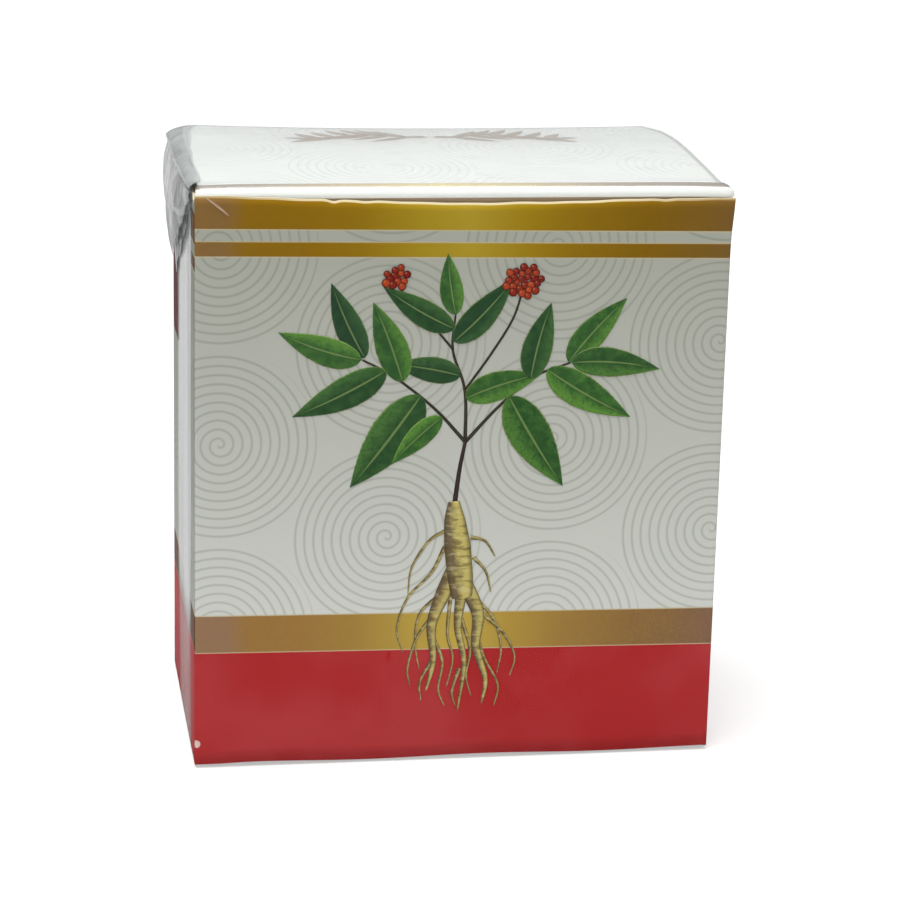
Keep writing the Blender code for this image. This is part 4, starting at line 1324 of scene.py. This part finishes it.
def make_bag(material):
    """The inner bag: a rounded rectangle carried up a section from the middle of its base.

    Its folds deepen towards its open mouth.
    """
    middle = (BAG_LOW + BAG_HIGH) / 2
    half = (BAG_HIGH - BAG_LOW) / 2
    angle = np.linspace(0, 2 * np.pi, 181)[None]
    power = 5.0
    reach = (np.abs(np.cos(angle)) ** power + np.abs(np.sin(angle)) ** power) ** (-1 / power)
    share = np.concatenate([np.linspace(0.02, 0.9, 8), np.full(60, 1.0)])[:, None]
    rise = np.concatenate([np.zeros(8), np.linspace(0.0, 1, 60)])[:, None]
    round_in = 1 - 0.10 * np.clip(1 - rise / 0.08, 0, 1) ** 2
    crumple = folds(angle * 6, rise * 6, 9, 7, 0.6, 2.6, 0.0, 0.5)
    waist = share * round_in * (1 - 0.05 * rise) * (1 - 0.055 * crumple * (0.3 + rise))
    x = middle[0] + half[0] * waist * reach * np.cos(angle)
    y = middle[1] + half[1] * waist * reach * np.sin(angle)
    lift = 1.2 * rise * np.sin(angle * 5) * (rise > 0.9)
    z = BAG_LOW[2] + 0.05 + (BAG_HIGH[2] - BAG_LOW[2] - 1.6) * rise + lift
    own = np.stack(np.broadcast_arrays(crumple, rise), -1)
    bag = surface("clear_bag", np.stack([x, y, z], -1), [material], {"own": own}, 70.0)
    thicken(bag, 0.08)
    return put(bag, "carton", "bag_film", "inner_bag")


class CARTON_OT_contents(bpy.types.Operator):
    """Makes the inner bag and finishes the roots."""

    bl_idname = "carton.contents"
    bl_label = "Contents"

    def execute(self, context):
        make_bag(clear_film("bag_film", 0.12, (0.90, 0.93, 0.93), edge=0.32))
        bark = dried_root()
        for name in frame["nodes"]:
            if name.startswith("ginseng_root"):
                repaint(name, bark)
        return {"FINISHED"}


def soft_sun(name, strength, direction):
    """A sun as wide as a soft box, shining in a direction."""
    data = bpy.data.lights.new(name, "SUN")
    data.energy = strength
    data.angle = math.radians(45)
    lamp = bpy.data.objects.new(name, data)
    lamp.rotation_euler = Vector(direction).to_track_quat("-Z", "Y").to_euler()
    bpy.context.scene.collection.objects.link(lamp)


def make_floor(stage):
    """A wide white floor just under the carton. The camera sees a little extra white on it."""
    reach, top = 3000.0, -0.1
    x, y = np.meshgrid((-reach, reach), (-reach, reach))
    white, tree, shader = new_material("studio_floor")
    seen = tree.add("ShaderNodeLightPath").outputs["Is Camera Ray"]
    colour = tree.mix(tree.noise(tree.place(), 3, 2), (0.57, 0.57, 0.57), (0.59, 0.59, 0.59))
    extra = tree.mix(seen, (0, 0, 0), (stage.backdrop,) * 3)
    tree.set(shader, {"Base Color": colour, "Emission Color": extra, "Emission Strength": 1.0})
    tree.set(shader, {"Roughness": 0.9, "Specular IOR Level": 0.1})
    surface("floor", np.stack([x, y, np.full(x.shape, top)], -1), [white])


def make_sky(stage):
    """An even white world."""
    world = bpy.data.worlds.new("studio")
    world.use_nodes = True
    background = world.node_tree.nodes["Background"].inputs
    background["Color"].default_value = (1, 1, 1, 1)
    background["Strength"].default_value = stage.world
    bpy.context.scene.world = world


def make_camera(stage):
    """The camera, turned by its yaw and pitch and then leant by its roll."""
    data = bpy.data.cameras.new("camera")
    data.lens = stage.lens
    data.sensor_width = 36.0
    data.clip_start = 0.01
    data.shift_x = -5 / 900
    data.shift_y = 1 / 900
    camera = bpy.data.objects.new("camera", data)
    bpy.context.scene.collection.objects.link(camera)
    turn, tip, lean = stage.yaw, stage.pitch, stage.roll
    level = math.cos(tip)
    forward = Vector((math.sin(turn) * level, math.cos(turn) * level, -math.sin(tip)))
    right = Vector((math.cos(turn), -math.sin(turn), 0.0))
    up = right.cross(forward)
    leant_right = math.cos(lean) * right + math.sin(lean) * up
    leant_up = -math.sin(lean) * right + math.cos(lean) * up
    axes = Matrix((leant_right, leant_up, -forward)).transposed()
    camera.matrix_world = Matrix.Translation(stage.eye) @ axes.to_4x4()
    bpy.context.scene.camera = camera


class CARTON_OT_stage(bpy.types.Operator):
    """Makes the floor, the lights and the camera."""

    bl_idname = "carton.stage"
    bl_label = "Studio"

    def execute(self, context):
        stage = settings()[2]
        make_floor(stage)
        make_sky(stage)
        soft_sun("overhead", stage.lamp, (0.13, 0.12, -1.0))
        soft_sun("front", stage.fill, (0.10, 0.80, -0.60))
        make_camera(stage)
        context.scene.view_settings.view_transform = "Standard"
        context.scene.cycles.transparent_max_bounces = 16
        return {"FINISHED"}


class CARTON_PT_panel(bpy.types.Panel):
    """Lists the carton's pieces and settings in the sidebar."""

    bl_idname = "CARTON_PT_panel"
    bl_label = "Carton"
    bl_space_type = "VIEW_3D"
    bl_region_type = "UI"
    bl_category = "Carton"

    def draw(self, context):
        for operator in OPERATORS:
            self.layout.operator(operator.bl_idname)
        for group in (context.scene.carton_print, context.scene.carton_film, context.scene.carton_stage):
            box = self.layout.box()
            for key in group.__annotations__:
                box.prop(group, key)


GROUPS = {"carton_print": CartonPrint, "carton_film": CartonFilm, "carton_stage": CartonStage}
OPERATORS = (CARTON_OT_board, CARTON_OT_print, CARTON_OT_film, CARTON_OT_contents, CARTON_OT_stage)


def register():
    """Registers the classes and hangs the settings on the scene."""
    for item in (*GROUPS.values(), *OPERATORS, CARTON_PT_panel):
        bpy.utils.register_class(item)
    for name, group in GROUPS.items():
        setattr(bpy.types.Scene, name, bpy.props.PointerProperty(type=group))


def unregister():
    """Takes the settings and the classes away again."""
    for name in GROUPS:
        delattr(bpy.types.Scene, name)
    for item in (CARTON_PT_panel, *reversed(OPERATORS), *GROUPS.values()):
        bpy.utils.unregister_class(item)


def main():
    """Builds everything in order."""
    register()
    bpy.ops.carton.board()
    bpy.ops.carton.print()
    bpy.ops.carton.film()
    bpy.ops.carton.contents()
    bpy.ops.carton.stage()


if __name__ == "__main__":
    main()
